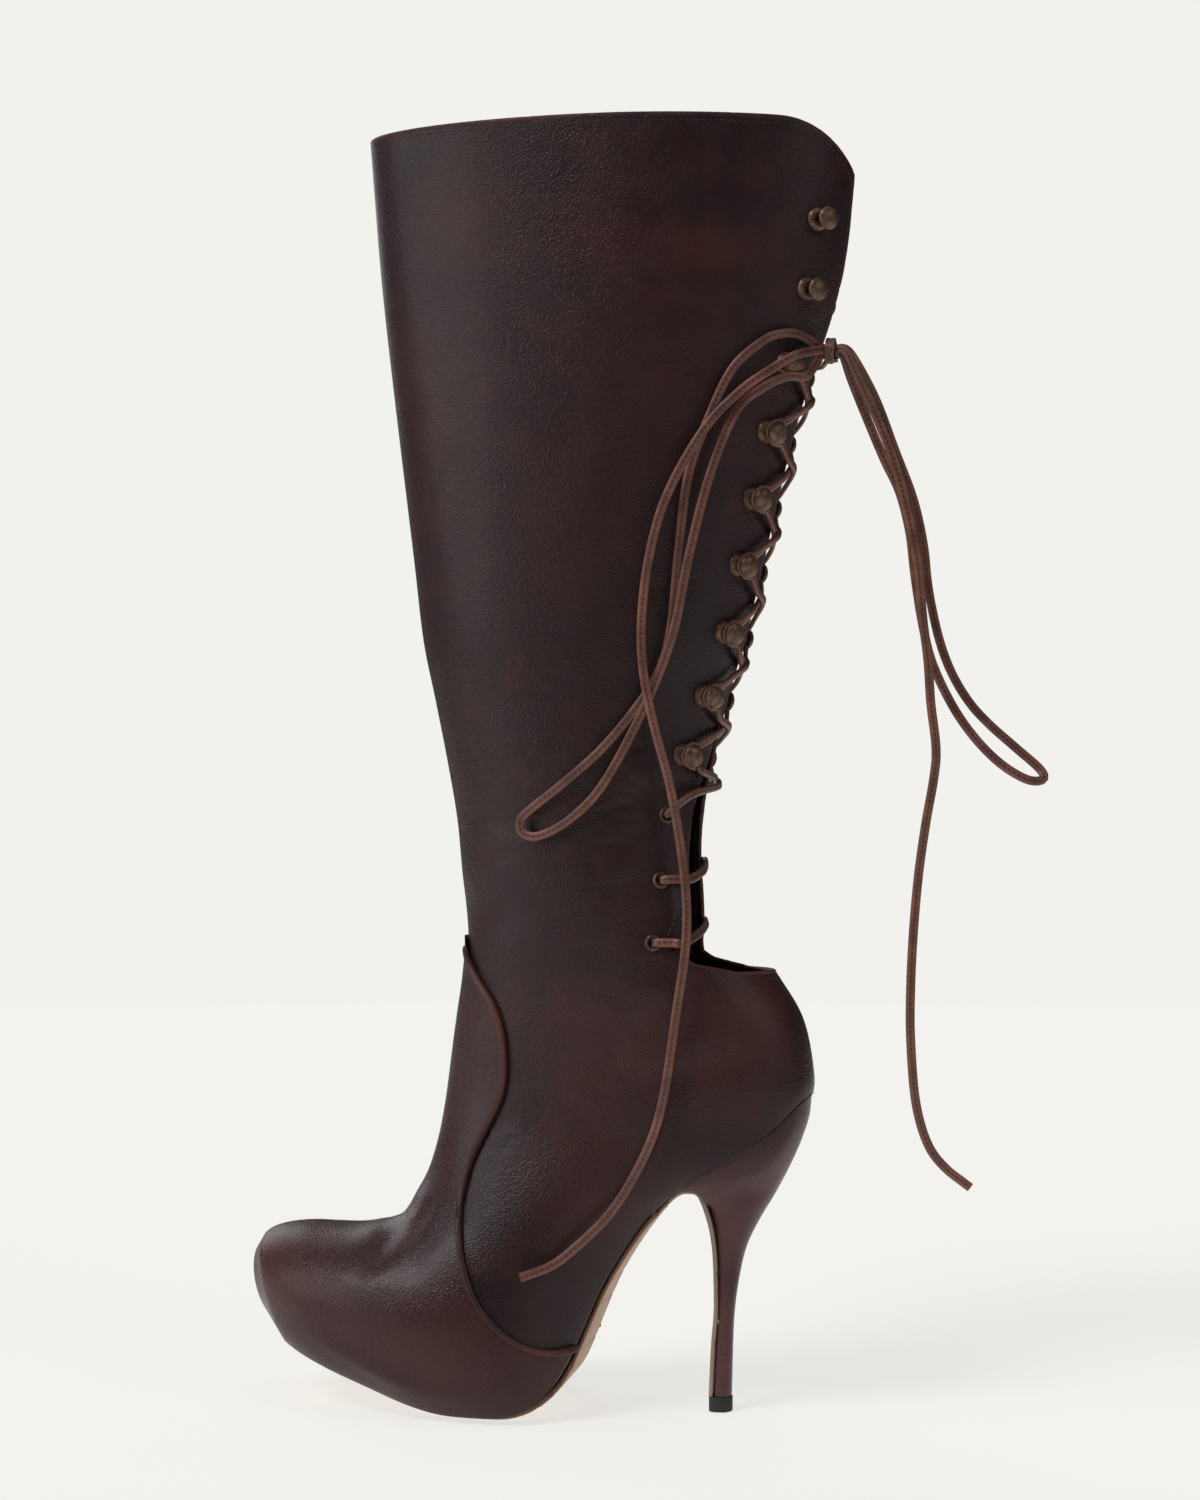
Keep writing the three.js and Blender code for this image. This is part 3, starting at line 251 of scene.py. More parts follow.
def smooth_step(x, low, high):
    share = min(max((x - low) / (high - low), 0), 1)
    return share * share * (3 - 2 * share)


def blend(rows, t):
    """Smooth curve through rows of numbers, one row for each whole t."""
    last = len(rows) - 1
    i = min(max(int(t), 0), last - 1)
    f = t - i
    before, here, there, after = (
        rows[max(i - 1, 0)], rows[i], rows[i + 1], rows[min(i + 2, last)])
    if i in (0, last - 1):
        return [b + f * (c - b) for b, c in zip(here, there)]
    return [
        b + 0.5 * f * (c - a + f * (2 * a - 5 * b + 4 * c - d + f * (3 * (b - c) + d - a)))
        for a, b, c, d in zip(before, here, there, after)
    ]


def smooth_line(points, count):
    """Points spread along a smooth curve through a few chosen ones."""
    last = len(points) - 1
    return [blend(points, last * k / (count - 1)) for k in range(count)]


def even(points, step):
    """The same path with its points a fixed step apart."""
    walked = [0.0]
    for a, b in zip(points, points[1:]):
        walked.append(walked[-1] + (Vector(b) - Vector(a)).length)
    count = max(round(walked[-1] / step), 2)
    result, k = [], 0
    for n in range(count + 1):
        target = walked[-1] * n / count
        while k < len(points) - 2 and walked[k + 1] < target:
            k += 1
        span = max(walked[k + 1] - walked[k], 1e-9)
        result.append(Vector(points[k]).lerp(Vector(points[k + 1]), (target - walked[k]) / span))
    return result


def path_length(points):
    return sum((Vector(b) - Vector(a)).length for a, b in zip(points, points[1:]))


def offset_line(line, distance_at):
    """Moves a line of side-view points to its left."""
    moved = []
    for i, (x, z) in enumerate(line):
        before, after = line[max(i - 1, 0)], line[min(i + 1, len(line) - 1)]
        run = Vector((after[0] - before[0], after[1] - before[1])).normalized()
        distance = distance_at(x) if callable(distance_at) else distance_at
        moved.append((x - run.y * distance, z + run.x * distance))
    return moved


LEG_X = along_foot(LEG_AXIS)
SECTIONS = [
    (LEG_X - front * COLLAR_DEPTH, lerp(INSTEP_HEIGHT, BOOT_HEIGHT, up),
     LEG_X + back * COLLAR_DEPTH, lerp(INSTEP_HEIGHT, BOOT_HEIGHT, up),
     width * COLLAR_WIDTH, 0, 0.54, 1.8, 1.9, 0)
    for up, front, back, width in LEG_ROWS
] + [
    (along_foot(row[0]), row[1] * INSTEP_HEIGHT, along_foot(row[2]), row[3] * HEEL_HEIGHT,
     row[4] * BALL_WIDTH, row[5] * BALL_WIDTH, *row[6:])
    for row in FOOT_ROWS
]
LAST_LEG = len(LEG_ROWS) - 1
LAST = len(SECTIONS) - 1


def ring_point(section, angle, grow):
    fx, fz, bx, bz, width, swing, widest, round_front, round_back, nose = section
    depth = math.hypot(bx - fx, bz - fz)
    cos, sin = math.cos(angle), math.sin(angle)
    squareness = round_back if cos > 0 else round_front
    reach = ((1 - widest) if cos > 0 else widest) * depth + grow
    power = 2 / squareness
    share = (widest * depth + math.copysign(reach * abs(cos) ** power, cos)) / depth
    side = math.copysign((width / 2 + grow) * abs(sin) ** power, sin)
    return Vector((fx + (bx - fx) * share - nose * grow, swing + side, fz + (bz - fz) * share))


def skin_point(t, angle, grow=0.0):
    return ring_point(blend(SECTIONS, t), angle, grow)


def skin_normal(t, angle):
    step = 0.02
    around = skin_point(t, angle + step) - skin_point(t, angle - step)
    down = skin_point(t + step, angle) - skin_point(t - step, angle)
    return down.cross(around).normalized()


def side_place(x, z, side, grow=0.0):
    """The place of the skin that the side view shows at x, z. side: -1 outer, 1 inner."""
    def beyond(t):
        fx, fz, bx, bz = blend(SECTIONS, t)[:4]
        return (bx - fx) * (z - fz) - (bz - fz) * (x - fx)
    low, high = 0.0, float(LAST)
    for _ in range(30):
        middle = (low + high) / 2
        low, high = (middle, high) if beyond(middle) < 0 else (low, middle)
    fx, fz, bx, bz, _, _, widest, round_front, round_back, _ = blend(SECTIONS, low)
    depth = math.hypot(bx - fx, bz - fz)
    share = ((x - fx) * (bx - fx) + (z - fz) * (bz - fz)) / depth ** 2
    reach = (1 - widest) if share > widest else widest
    cos = min(abs(share - widest) / reach, 1) ** ((round_back if share > widest else round_front) / 2)
    angle = math.acos(cos) if share > widest else math.pi - math.acos(cos)
    return low, side * angle


def side_point(x, z, side, grow=0.0):
    return skin_point(*side_place(x, z, side), grow)


FEATHER_LINE = [
    (p[0], p[1]) for p in smooth_line(
        [(along_foot(a), OUTSOLE + GAP + up * HEEL_HEIGHT) for a, up in reversed(FEATHER)], 120)
]
VAMP_LINE = [
    (p[0], p[1]) for p in smooth_line(
        [(along_foot(a), up * INSTEP_HEIGHT) for a, up in VAMP_EDGE], 110)
]
SCOOP_LINE = smooth_line(
    [(lerp(SCOOP_HEIGHT, INSTEP_HEIGHT, up), SLIT_WIDTH / 2 + half * SCOOP_WIDTH)
     for up, half in SCOOP], 90)
COLLAR_BACK = LEG_X + LEG_ROWS[0][2] * COLLAR_DEPTH
COLLAR_BACK_HEIGHT = BOOT_HEIGHT - COLLAR_DROP


def slit_half(z):
    """Half of the slit's width at a height."""
    for (low, a), (high, b) in zip(SCOOP_LINE, SCOOP_LINE[1:]):
        if low <= z <= high:
            return lerp(a, b, (z - low) / max(high - low, 1e-6))
    return SLIT_WIDTH / 2 if z > SCOOP_LINE[-1][0] else SCOOP_LINE[0][1]


def collar_corner(steps, inset=0.0):
    """The rounded top corner of a flap, from its top to its back edge, seen from the side."""
    radius = COLLAR_CORNER - inset
    centre = (COLLAR_BACK - COLLAR_CORNER, COLLAR_BACK_HEIGHT - COLLAR_CORNER)
    return [
        (centre[0] + radius * math.sin(TAU / 4 * k / steps),
         centre[1] + radius * math.cos(TAU / 4 * k / steps)) for k in range(steps + 1)
    ]


def height_place(z, angle):
    """The section that reaches a height at an angle behind the leg."""
    low, high = 0.0, LAST_LEG + 6.0
    for _ in range(26):
        middle = (low + high) / 2
        if skin_point(middle, angle).z > z:
            low = middle
        else:
            high = middle
    return low


def back_place(half, z, side):
    """The place of the skin that the back view shows at a distance from the middle."""
    low, high = 0.0, TAU / 4
    for _ in range(22):
        middle = (low + high) / 2
        if abs(skin_point(height_place(z, side * middle), side * middle).y) < half:
            low = middle
        else:
            high = middle
    return height_place(z, side * low), side * low


def flap_place(z, inset, side):
    """A spot on a flap, a distance from its edge over the leather: point, normal, up, to edge."""
    t = height_place(z, side * 0.9)
    angle = 0.0
    while abs(skin_point(t, side * angle).y) < slit_half(z):
        angle += 0.002
    walked = 0.0
    point = skin_point(t, side * angle)
    while walked < abs(inset):
        angle += math.copysign(0.002, inset)
        following = skin_point(t, side * angle)
        walked += (following - point).length
        point = following
    normal = skin_normal(t, side * angle)
    if normal.y * side < 0:
        normal.negate()
    upward = (Vector((0, 0, 1)) - normal * normal.z).normalized()
    to_edge = upward.cross(normal) * -side
    return point, normal, upward, to_edge


def off_spot(spot, edgeward, up, out):
    point, normal, upward, to_edge = spot
    return point + to_edge * edgeward + upward * up + normal * out


def hook_spot(i, side):
    inset = lerp(HOOK_INSET, LOWEST_HOOK_INSET, i / (len(HOOK_HEIGHTS) - 1))
    return flap_place(HOOK_HEIGHTS[i], inset, side)


def eyelet_height(row, side):
    return EYELET_HEIGHTS[row] + (INNER_EYELET_RISE if side > 0 else 0)


# Creases and swellings of the leather, as lines seen from the side in millimetres: how deep they
# press in, or stand out when negative, how wide they are, and on which side they show
CREASES = [
    # the fold where the vamp flexes over the toes, and two finer ones behind it
    ([(-124, 78), (-129, 71), (-134, 64), (-139, 59)], 1.0, 4.5, 0),
    ([(-114, 82), (-117, 75), (-122, 70)], 0.45, 2.6, 0),
    ([(-112, 88), (-114, 82), (-117, 77)], 0.4, 2.2, 0),
    # fine wrinkles behind the vamp's seam
    ([(-90, 110), (-81, 114), (-73, 119)], 0.45, 1.5, 0),
    ([(-89, 114), (-83, 117), (-77, 121)], 0.4, 1.4, 0),
    ([(-88, 105), (-79, 110), (-71, 115)], 0.35, 1.6, 0),
    # soft folds at the back of the shank
    ([(-49, 233), (-36, 239), (-22, 246), (-9, 251)], 1.0, 5, 0),
    ([(-47, 224), (-33, 228), (-20, 235)], 0.75, 4.5, 0),
    ([(-59, 244), (-43, 248), (-27, 253)], 0.5, 5, 0),
    ([(-44, 206), (-32, 210), (-22, 215)], 0.45, 3.5, 0),
    ([(-97, 238), (-85, 235), (-72, 231)], 0.5, 4, 0),
    ([(-98, 226), (-88, 223), (-76, 223)], 0.4, 3.5, 0),
    # folds running down from the cut-out
    ([(-6, 170), (-20, 160), (-36, 148), (-47, 138)], 1.0, 6, -1),
    ([(-3, 163), (-14, 152), (-27, 139)], 0.75, 5, -1),
    ([(-29, 174), (-18, 178), (-8, 176)], 0.4, 4, -1),
    ([(-40, 128), (-20, 135), (-1, 140), (15, 141)], 0.5, 6, -1),
    ([(-4, 166), (-22, 158), (-38, 143)], 0.8, 6, 1),
    ([(-36, 126), (-16, 134), (8, 139)], 0.5, 6, 1),
    # the soft ridge over the hidden platform
    ([(-160, 33), (-150, 27), (-136, 21), (-125, 17), (-113, 13), (-97, 12), (-78, 13)], -0.7, 3.2, 0),
]


def pressed(x, y, z):
    """How far the leather is pressed in at a point."""
    total = 0.0
    for line, depth, width, sides in CREASES:
        if y * sides < 0:
            continue
        (x0, z0), (x1, z1) = line[0], line[-1]
        if not (min(x0, x1) - 14 < x < max(x0, x1) + 14 and min(z0, z1) - 14 < z < max(z0, z1) + 14):
            continue
        nearest, at = 1e9, 0.0
        for k, ((ax, az), (bx, bz)) in enumerate(zip(line, line[1:])):
            run = (bx - ax) ** 2 + (bz - az) ** 2
            share = min(max(((x - ax) * (bx - ax) + (z - az) * (bz - az)) / run, 0), 1)
            gap = math.hypot(x - ax - share * (bx - ax), z - az - share * (bz - az))
            if gap < nearest:
                nearest, at = gap, (k + share) / (len(line) - 1)
        fade = math.sin(math.pi * min(max(at, 0.03), 0.97)) ** 0.6
        near = nearest / width
        total += depth * fade * (math.exp(-near * near) - 0.35 * math.exp(-((near - 1.9) ** 2)))
    return total


# Making meshes

def only(piece):
    bpy.ops.object.select_all(action="DESELECT")
    piece.select_set(True)
    bpy.context.view_layer.objects.active = piece
    return piece


def loft(name, rings, start, end):
    """A closed skin over rings of equal count, made from a ball of as many rings."""
    bpy.ops.object.select_all(action="DESELECT")
    count, last = len(rings[0]), len(rings) + 1
    bpy.ops.mesh.primitive_uv_sphere_add(segments=count, ring_count=last, radius=1)
    piece = bpy.context.object
    piece.name = name
    piece.data.name = name
    for vertex in piece.data.vertices:
        ring = round(math.acos(max(-1.0, min(1.0, vertex.co.z))) / math.pi * last)
        if ring == 0:
            vertex.co = world(start)
        elif ring == last:
            vertex.co = world(end)
        else:
            turn = round(math.atan2(vertex.co.y, vertex.co.x) / TAU * count) % count
            vertex.co = world(rings[ring - 1][turn])
    return piece


def outward(piece):
    only(piece)
    bpy.ops.object.mode_set(mode="EDIT")
    bpy.ops.mesh.select_all(action="SELECT")
    bpy.ops.mesh.normals_make_consistent(inside=False)
    bpy.ops.object.mode_set(mode="OBJECT")
    return piece


def middle_of(ring):
    return sum((Vector(p) for p in ring), Vector()) / len(ring)


AROUND = 144
RINGS_PER_SECTION = 6


def form(name, grow, start=0):
    """The boot's form grown by a skin, or shrunk by a wall, creases and all."""
    count = LAST * RINGS_PER_SECTION
    rings = []
    for k in range(start * RINGS_PER_SECTION, count + 1):
        t = k / RINGS_PER_SECTION
        section = blend(SECTIONS, t)
        ring = [ring_point(section, TAU * i / AROUND, grow) for i in range(AROUND)]
        for i, point in enumerate(ring):
            depth = pressed(*point)
            if abs(depth) > 0.01:
                point -= skin_normal(min(t, LAST - 0.05), TAU * i / AROUND) * depth
        rings.append(ring)
    tip = (along_foot(TOE_TIP[0]) - grow, TOE_TIP[2] * BALL_WIDTH, TOE_TIP[1] * INSTEP_HEIGHT)
    return loft(name, rings, middle_of(rings[0]), tip)


def prism(name, outline, axis, low, high):
    """A filled outline pushed out along an axis: a round plate shaped to the outline."""
    bpy.ops.object.select_all(action="DESELECT")
    count = len(outline)
    bpy.ops.mesh.primitive_circle_add(vertices=count, radius=1, fill_type="NGON")
    piece = bpy.context.object
    piece.name = name

    def spot(k, reach):
        a, b = outline[k % count]
        return (a, reach, b) if axis == "Y" else (reach, a, b)

    for k, vertex in enumerate(piece.data.vertices):
        vertex.co = world(spot(k, low))
    bpy.ops.object.mode_set(mode="EDIT")
    bpy.ops.mesh.select_all(action="SELECT")
    bpy.ops.mesh.extrude_region_move()
    bpy.ops.object.mode_set(mode="OBJECT")
    for k, vertex in enumerate(piece.data.vertices):
        if k >= count:
            vertex.co = world(spot(k, high))
    return outward(piece)


def carve(piece, cutter, operation):
    """Cuts a piece with another, which goes away."""
    modifier = only(piece).modifiers.new("carve", "BOOLEAN")
    modifier.operation = operation
    modifier.object = cutter
    modifier.solver = "EXACT"
    modifier.material_mode = "TRANSFER"
    bpy.ops.object.modifier_apply(modifier=modifier.name)
    bpy.data.objects.remove(cutter)
    return piece


def coat(piece, *materials):
    piece.data.materials.clear()
    for material in materials:
        piece.data.materials.append(material)
    return piece


def rounded(piece, degrees=32):
    only(piece)
    bpy.ops.object.shade_smooth_by_angle(angle=math.radians(degrees))
    return piece


def finish(piece, slot, *nodes):
    """Seats a finished piece in the frame."""
    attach(piece, "root")
    if nodes:
        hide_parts(*nodes)
    return piece


def merge(name, parts):
    bpy.ops.object.select_all(action="DESELECT")
    for part in parts:
        part.select_set(True)
    bpy.context.view_layer.objects.active = parts[0]
    if len(parts) > 1:
        bpy.ops.object.join()
    parts[0].name = name
    parts[0].data.name = name
    return parts[0]


def below_feather(drop):
    line = offset_line(FEATHER_LINE, -drop)
    (fx, fz), (lx, lz) = line[0], line[-1]
    outline = [(fx - FOOT_REACH, fz), *line, (lx + FOOT_REACH, lz), (lx + FOOT_REACH, -60),
               (fx - FOOT_REACH, -60)]
    return prism("below_feather", outline, "Y", -140, 140)


def vamp_region(inset):
    line = offset_line(VAMP_LINE, -inset)
    toe = along_foot(1.3)
    outline = [(toe, line[0][1]), *line, (line[-1][0], -60), (toe, -60)]
    return prism("vamp_region", outline, "Y", -140, 140)


def swept(name, path, profile_at, materials):
    """A tube or band along a path. profile_at gives each point's ring, and the UV runs in metres."""
    rings = []
    for i, point in enumerate(path):
        before, after = path[max(i - 1, 0)], path[min(i + 1, len(path) - 1)]
        rings.append(profile_at(point, (after - before).normalized(), i))
    piece = outward(loft(name, rings, path[0], path[-1]))
    length = path_length(path) * MM
    for loop in piece.data.uv_layers.active.data:
        loop.uv.y *= length
    return coat(piece, *materials)


def round_profile(radius, sides=10):
    def ring(point, tangent, _):
        normal = tangent.cross(Vector((0.31, 0.17, 0.93))).normalized()
        across = tangent.cross(normal)
        return [point + normal * radius * math.cos(TAU * k / sides)
                + across * radius * math.sin(TAU * k / sides) for k in range(sides)]
    return ring


def band_profile(width, thickness, facing_at, sides=16):
    """A flat band, its broad side turned along facing_at."""
    def ring(point, tangent, i):
        facing = facing_at(point, i)
        normal = (facing - tangent * facing.dot(tangent)).normalized()
        across = tangent.cross(normal)
        points = []
        for k in range(sides):
            cos, sin = math.cos(TAU * k / sides), math.sin(TAU * k / sides)
            points.append(point + across * math.copysign(width / 2 * abs(cos) ** 0.6, cos)
                          + normal * math.copysign(thickness / 2 * abs(sin) ** 0.6, sin))
        return points
    return ring


def stitch_row(name, path, normals, size, material):
    """Stitches of one row: one short rounded stitch, repeated along the path."""
    rings = []
    half = size.stitch_length / MM / 2
    for share, reach in ((-0.8, 0.75), (0, 1), (0.8, 0.75)):
        rings.append([(share * half, math.cos(TAU * k / 6) * reach, math.sin(TAU * k / 6) * reach)
                      for k in range(6)])
    stitch = loft(name, rings, (-half, 0, 0), (half, 0, 0))
    outward(stitch)
    shape = [(v.co / MM - SHIFT) for v in stitch.data.vertices]
    faces = [tuple(p.vertices) for p in stitch.data.polygons]
    bpy.data.objects.remove(stitch)
    thread = size.thread / MM / 2
    vertices, polygons = [], []
    for i in range(1, len(path) - 1):
        tangent = (path[i + 1] - path[i - 1]).normalized()
        normal = (normals[i] - tangent * normals[i].dot(tangent)).normalized()
        across = tangent.cross(normal)
        first = len(vertices)
        for p in shape:
            vertices.append(world(path[i] + tangent * p.x + across * p.y * thread
                                  + normal * p.z * thread))
        polygons += [tuple(first + k for k in face) for face in faces]
    mesh = bpy.data.meshes.new(name)
    mesh.from_pydata(vertices, [], polygons)
    piece = bpy.data.objects.new(name, mesh)
    bpy.context.collection.objects.link(piece)
    return rounded(coat(piece, material), 60)


# Materials

def fresh(name):
    material = bpy.data.materials.new(name)
    material.use_nodes = True
    nodes = material.node_tree.nodes
    return material, nodes, material.node_tree.links, nodes["Principled BSDF"]


def noise(nodes, links, source, scale, detail=4.0, stretch=None):
    node = nodes.new("ShaderNodeTexNoise")
    node.inputs["Scale"].default_value = scale
    node.inputs["Detail"].default_value = detail
    if stretch:
        mapping = nodes.new("ShaderNodeMapping")
        mapping.inputs["Scale"].default_value = stretch
        links.new(source, mapping.inputs["Vector"])
        source = mapping.outputs["Vector"]
    links.new(source, node.inputs["Vector"])
    return node.outputs["Fac"]


def ranged(nodes, links, value, low, high, to_low, to_high):
    node = nodes.new("ShaderNodeMapRange")
    for name, number in (("From Min", low), ("From Max", high), ("To Min", to_low),
                         ("To Max", to_high)):
        node.inputs[name].default_value = number
    links.new(value, node.inputs["Value"])
    return node.outputs["Result"]


def mixed(nodes, links, share, a, b, kind="MIX"):
    node = nodes.new("ShaderNodeMix")
    node.data_type = "RGBA"
    node.blend_type = kind
    if isinstance(share, float):
        node.inputs["Factor"].default_value = share
    else:
        links.new(share, node.inputs["Factor"])
    for name, value in (("A", a), ("B", b)):
        socket = [s for s in node.inputs if s.name == name and s.type == "RGBA"][0]
        if isinstance(value, tuple):
            socket.default_value = value
        else:
            links.new(value, socket)
    return [s for s in node.outputs if s.type == "RGBA"][0]


def colour(values):
    return (values[0], values[1], values[2], 1.0)


def near(nodes, links, source, centre, radius, soft):
    """1 near a place on the boot and 0 far from it."""
    node = nodes.new("ShaderNodeVectorMath")
    node.operation = "DISTANCE"
    links.new(source, node.inputs[0])
    node.inputs[1].default_value = world(centre)
    return ranged(nodes, links, node.outputs["Value"], radius * MM, (radius + soft) * MM, 1.0, 0.0)


def leather(name, base, deep, warm, grain, shine, patches=(), wrinkled=()):
    """Burnished leather: clouded colour, warm patches, fine grain, fine wrinkles and soft gloss."""
    material, nodes, links, shader = fresh(name)
    place = nodes.new("ShaderNodeTexCoord").outputs["Object"]

    def maths(kind, a, b):
        node = nodes.new("ShaderNodeMath")
        node.operation = kind
        for k, value in enumerate((a, b)):
            if isinstance(value, (int, float)):
                node.inputs[k].default_value = value
            else:
                links.new(value, node.inputs[k])
        return node.outputs["Value"]

    clouds = ranged(nodes, links, noise(nodes, links, place, 14, 4), 0.36, 0.66, 0.0, 1.0)
    tone = mixed(nodes, links, clouds, colour(deep), colour(base))
    speckle = ranged(nodes, links, noise(nodes, links, place, 60, 7), 0.5, 0.78, 0.0, 0.32)
    tone = mixed(nodes, links, speckle, tone, colour(warm))
    ragged = noise(nodes, links, place, 42, 6)
    for centre, radius, soft, strength in patches:
        edge = maths("MULTIPLY", near(nodes, links, place, centre, radius, soft),
                     ranged(nodes, links, ragged, 0.25, 0.6, 0.35 * strength, strength))
        tone = mixed(nodes, links, edge, tone, colour(warm))
    links.new(tone, shader.inputs["Base Color"])
    rough = ranged(nodes, links, noise(nodes, links, place, 70, 5), 0.3, 0.7,
                   shine - 0.05, shine + 0.08)
    links.new(rough, shader.inputs["Roughness"])

    cells = nodes.new("ShaderNodeTexVoronoi")
    cells.inputs["Scale"].default_value = 1 / grain
    links.new(place, cells.inputs["Vector"])
    pores = maths("ADD", cells.outputs["Distance"], noise(nodes, links, place, 1.3 / grain, 3))
    bump = nodes.new("ShaderNodeBump")
    bump.inputs["Strength"].default_value = 0.6
    bump.inputs["Distance"].default_value = 0.0003
    links.new(pores, bump.inputs["Height"])
    height = maths("MULTIPLY", noise(nodes, links, place, 95, 3), 0.15)
    if wrinkled:
        folds = nodes.new("ShaderNodeTexNoise")
        folds.noise_type = "RIDGED_MULTIFRACTAL"
        folds.inputs["Scale"].default_value = 150
        folds.inputs["Detail"].default_value = 4
        squeezed = nodes.new("ShaderNodeMapping")
        squeezed.inputs["Scale"].default_value = (0.7, 0.7, 1.2)
        links.new(place, squeezed.inputs["Vector"])
        links.new(squeezed.outputs["Vector"], folds.inputs["Vector"])
        total = 0.0
        for centre, radius, soft, strength in wrinkled:
            total = maths("MAXIMUM", total,
                          maths("MULTIPLY", near(nodes, links, place, centre, radius, soft), strength))
        height = maths("SUBTRACT", height, maths("MULTIPLY", folds.outputs["Fac"], total))
    swell = nodes.new("ShaderNodeBump")
    swell.inputs["Strength"].default_value = 0.8
    swell.inputs["Distance"].default_value = 0.001
    links.new(height, swell.inputs["Height"])
    links.new(bump.outputs["Normal"], swell.inputs["Normal"])
    links.new(swell.outputs["Normal"], shader.inputs["Normal"])
    shader.inputs["Specular IOR Level"].default_value = 0.22
    shader.inputs["Coat Weight"].default_value = 0.1
    shader.inputs["Coat Roughness"].default_value = 0.22
    return material


def lace_leather(name, base, deep, size):
    """Folded lace with a row of stitches along its middle; its UV runs along it in metres."""
    material, nodes, links, shader = fresh(name)
    place = nodes.new("ShaderNodeTexCoord")
    tone = mixed(nodes, links,
                 ranged(nodes, links, noise(nodes, links, place.outputs["Object"], 120, 5),
                        0.35, 0.7, 0.0, 1.0), colour(deep), colour(base))
    split = nodes.new("ShaderNodeSeparateXYZ")
    links.new(place.outputs["UV"], split.inputs["Vector"])

    def maths(kind, a, b=None):
        node = nodes.new("ShaderNodeMath")
        node.operation = kind
        for k, value in enumerate((a, b)):
            if value is None:
                continue
            if isinstance(value, (int, float)):
                node.inputs[k].default_value = value
            else:
                links.new(value, node.inputs[k])
        return node.outputs["Value"]

    half_turn = maths("FRACT", maths("MULTIPLY", split.outputs["X"], 2.0))
    off_middle = maths("ABSOLUTE", maths("SUBTRACT", half_turn, 0.5))
    seam = ranged(nodes, links, off_middle, 0.03, 0.07, 1.0, 0.0)
    beat = maths("FRACT", maths("DIVIDE", split.outputs["Y"], 0.0022))
    dash = maths("GREATER_THAN", beat, 0.35)
    thread = maths("MULTIPLY", seam, dash)
    tone = mixed(nodes, links, maths("MULTIPLY", seam, 0.55), tone, colour(deep))
    tone = mixed(nodes, links, maths("MULTIPLY", thread, 0.75), tone, colour(size.thread_colour))
    links.new(tone, shader.inputs["Base Color"])
    shader.inputs["Roughness"].default_value = 0.42
    bump = nodes.new("ShaderNodeBump")
    bump.inputs["Strength"].default_value = 0.5
    bump.inputs["Distance"].default_value = 0.0003
    links.new(maths("SUBTRACT", maths("MULTIPLY", thread, 0.8), seam), bump.inputs["Height"])
    links.new(bump.outputs["Normal"], shader.inputs["Normal"])
    return material


def antique_metal(name, base, worn):
    """Antiqued brass: dark finish worn back to greenish gold in patches spread by noise."""
    material, nodes, links, shader = fresh(name)
    place = nodes.new("ShaderNodeTexCoord").outputs["Object"]
    rubbed = ranged(nodes, links, noise(nodes, links, place, 420, 5), 0.42, 0.66, 0.0, 1.0)
    links.new(mixed(nodes, links, rubbed, colour(base), colour(worn)), shader.inputs["Base Color"])
    links.new(ranged(nodes, links, noise(nodes, links, place, 300, 3), 0.3, 0.7, 0.32, 0.5),
              shader.inputs["Roughness"])
    shader.inputs["Metallic"].default_value = 0.45
    bump = nodes.new("ShaderNodeBump")
    bump.inputs["Strength"].default_value = 0.25
    bump.inputs["Distance"].default_value = 0.0002
    links.new(noise(nodes, links, place, 900, 3), bump.inputs["Height"])
    links.new(bump.outputs["Normal"], shader.inputs["Normal"])
    return material


def plain(name, base, roughness, grain=900.0, lift=0.00015):
    material, nodes, links, shader = fresh(name)
    place = nodes.new("ShaderNodeTexCoord").outputs["Object"]
    tone = mixed(nodes, links, ranged(nodes, links, noise(nodes, links, place, 45, 5),
                                      0.3, 0.7, 0.0, 1.0),
                 tuple(0.8 * c for c in base) + (1.0,), colour(base))
    links.new(tone, shader.inputs["Base Color"])
    shader.inputs["Roughness"].default_value = roughness
    bump = nodes.new("ShaderNodeBump")
    bump.inputs["Strength"].default_value = 0.3
    bump.inputs["Distance"].default_value = lift
    links.new(noise(nodes, links, place, grain, 4), bump.inputs["Height"])
    links.new(bump.outputs["Normal"], shader.inputs["Normal"])
    return material


MATERIALS = {}


def material(name):
    return MATERIALS[name]


# Settings

def length_setting(label, text, value):
    return bpy.props.FloatProperty(name=label, description=text, default=value, subtype="DISTANCE",
                                   unit="LENGTH", precision=5, min=0.0)


def colour_setting(label, text, value):
    return bpy.props.FloatVectorProperty(name=label, description=text, default=value,
                                         subtype="COLOR", size=3, min=0.0, max=1.0)


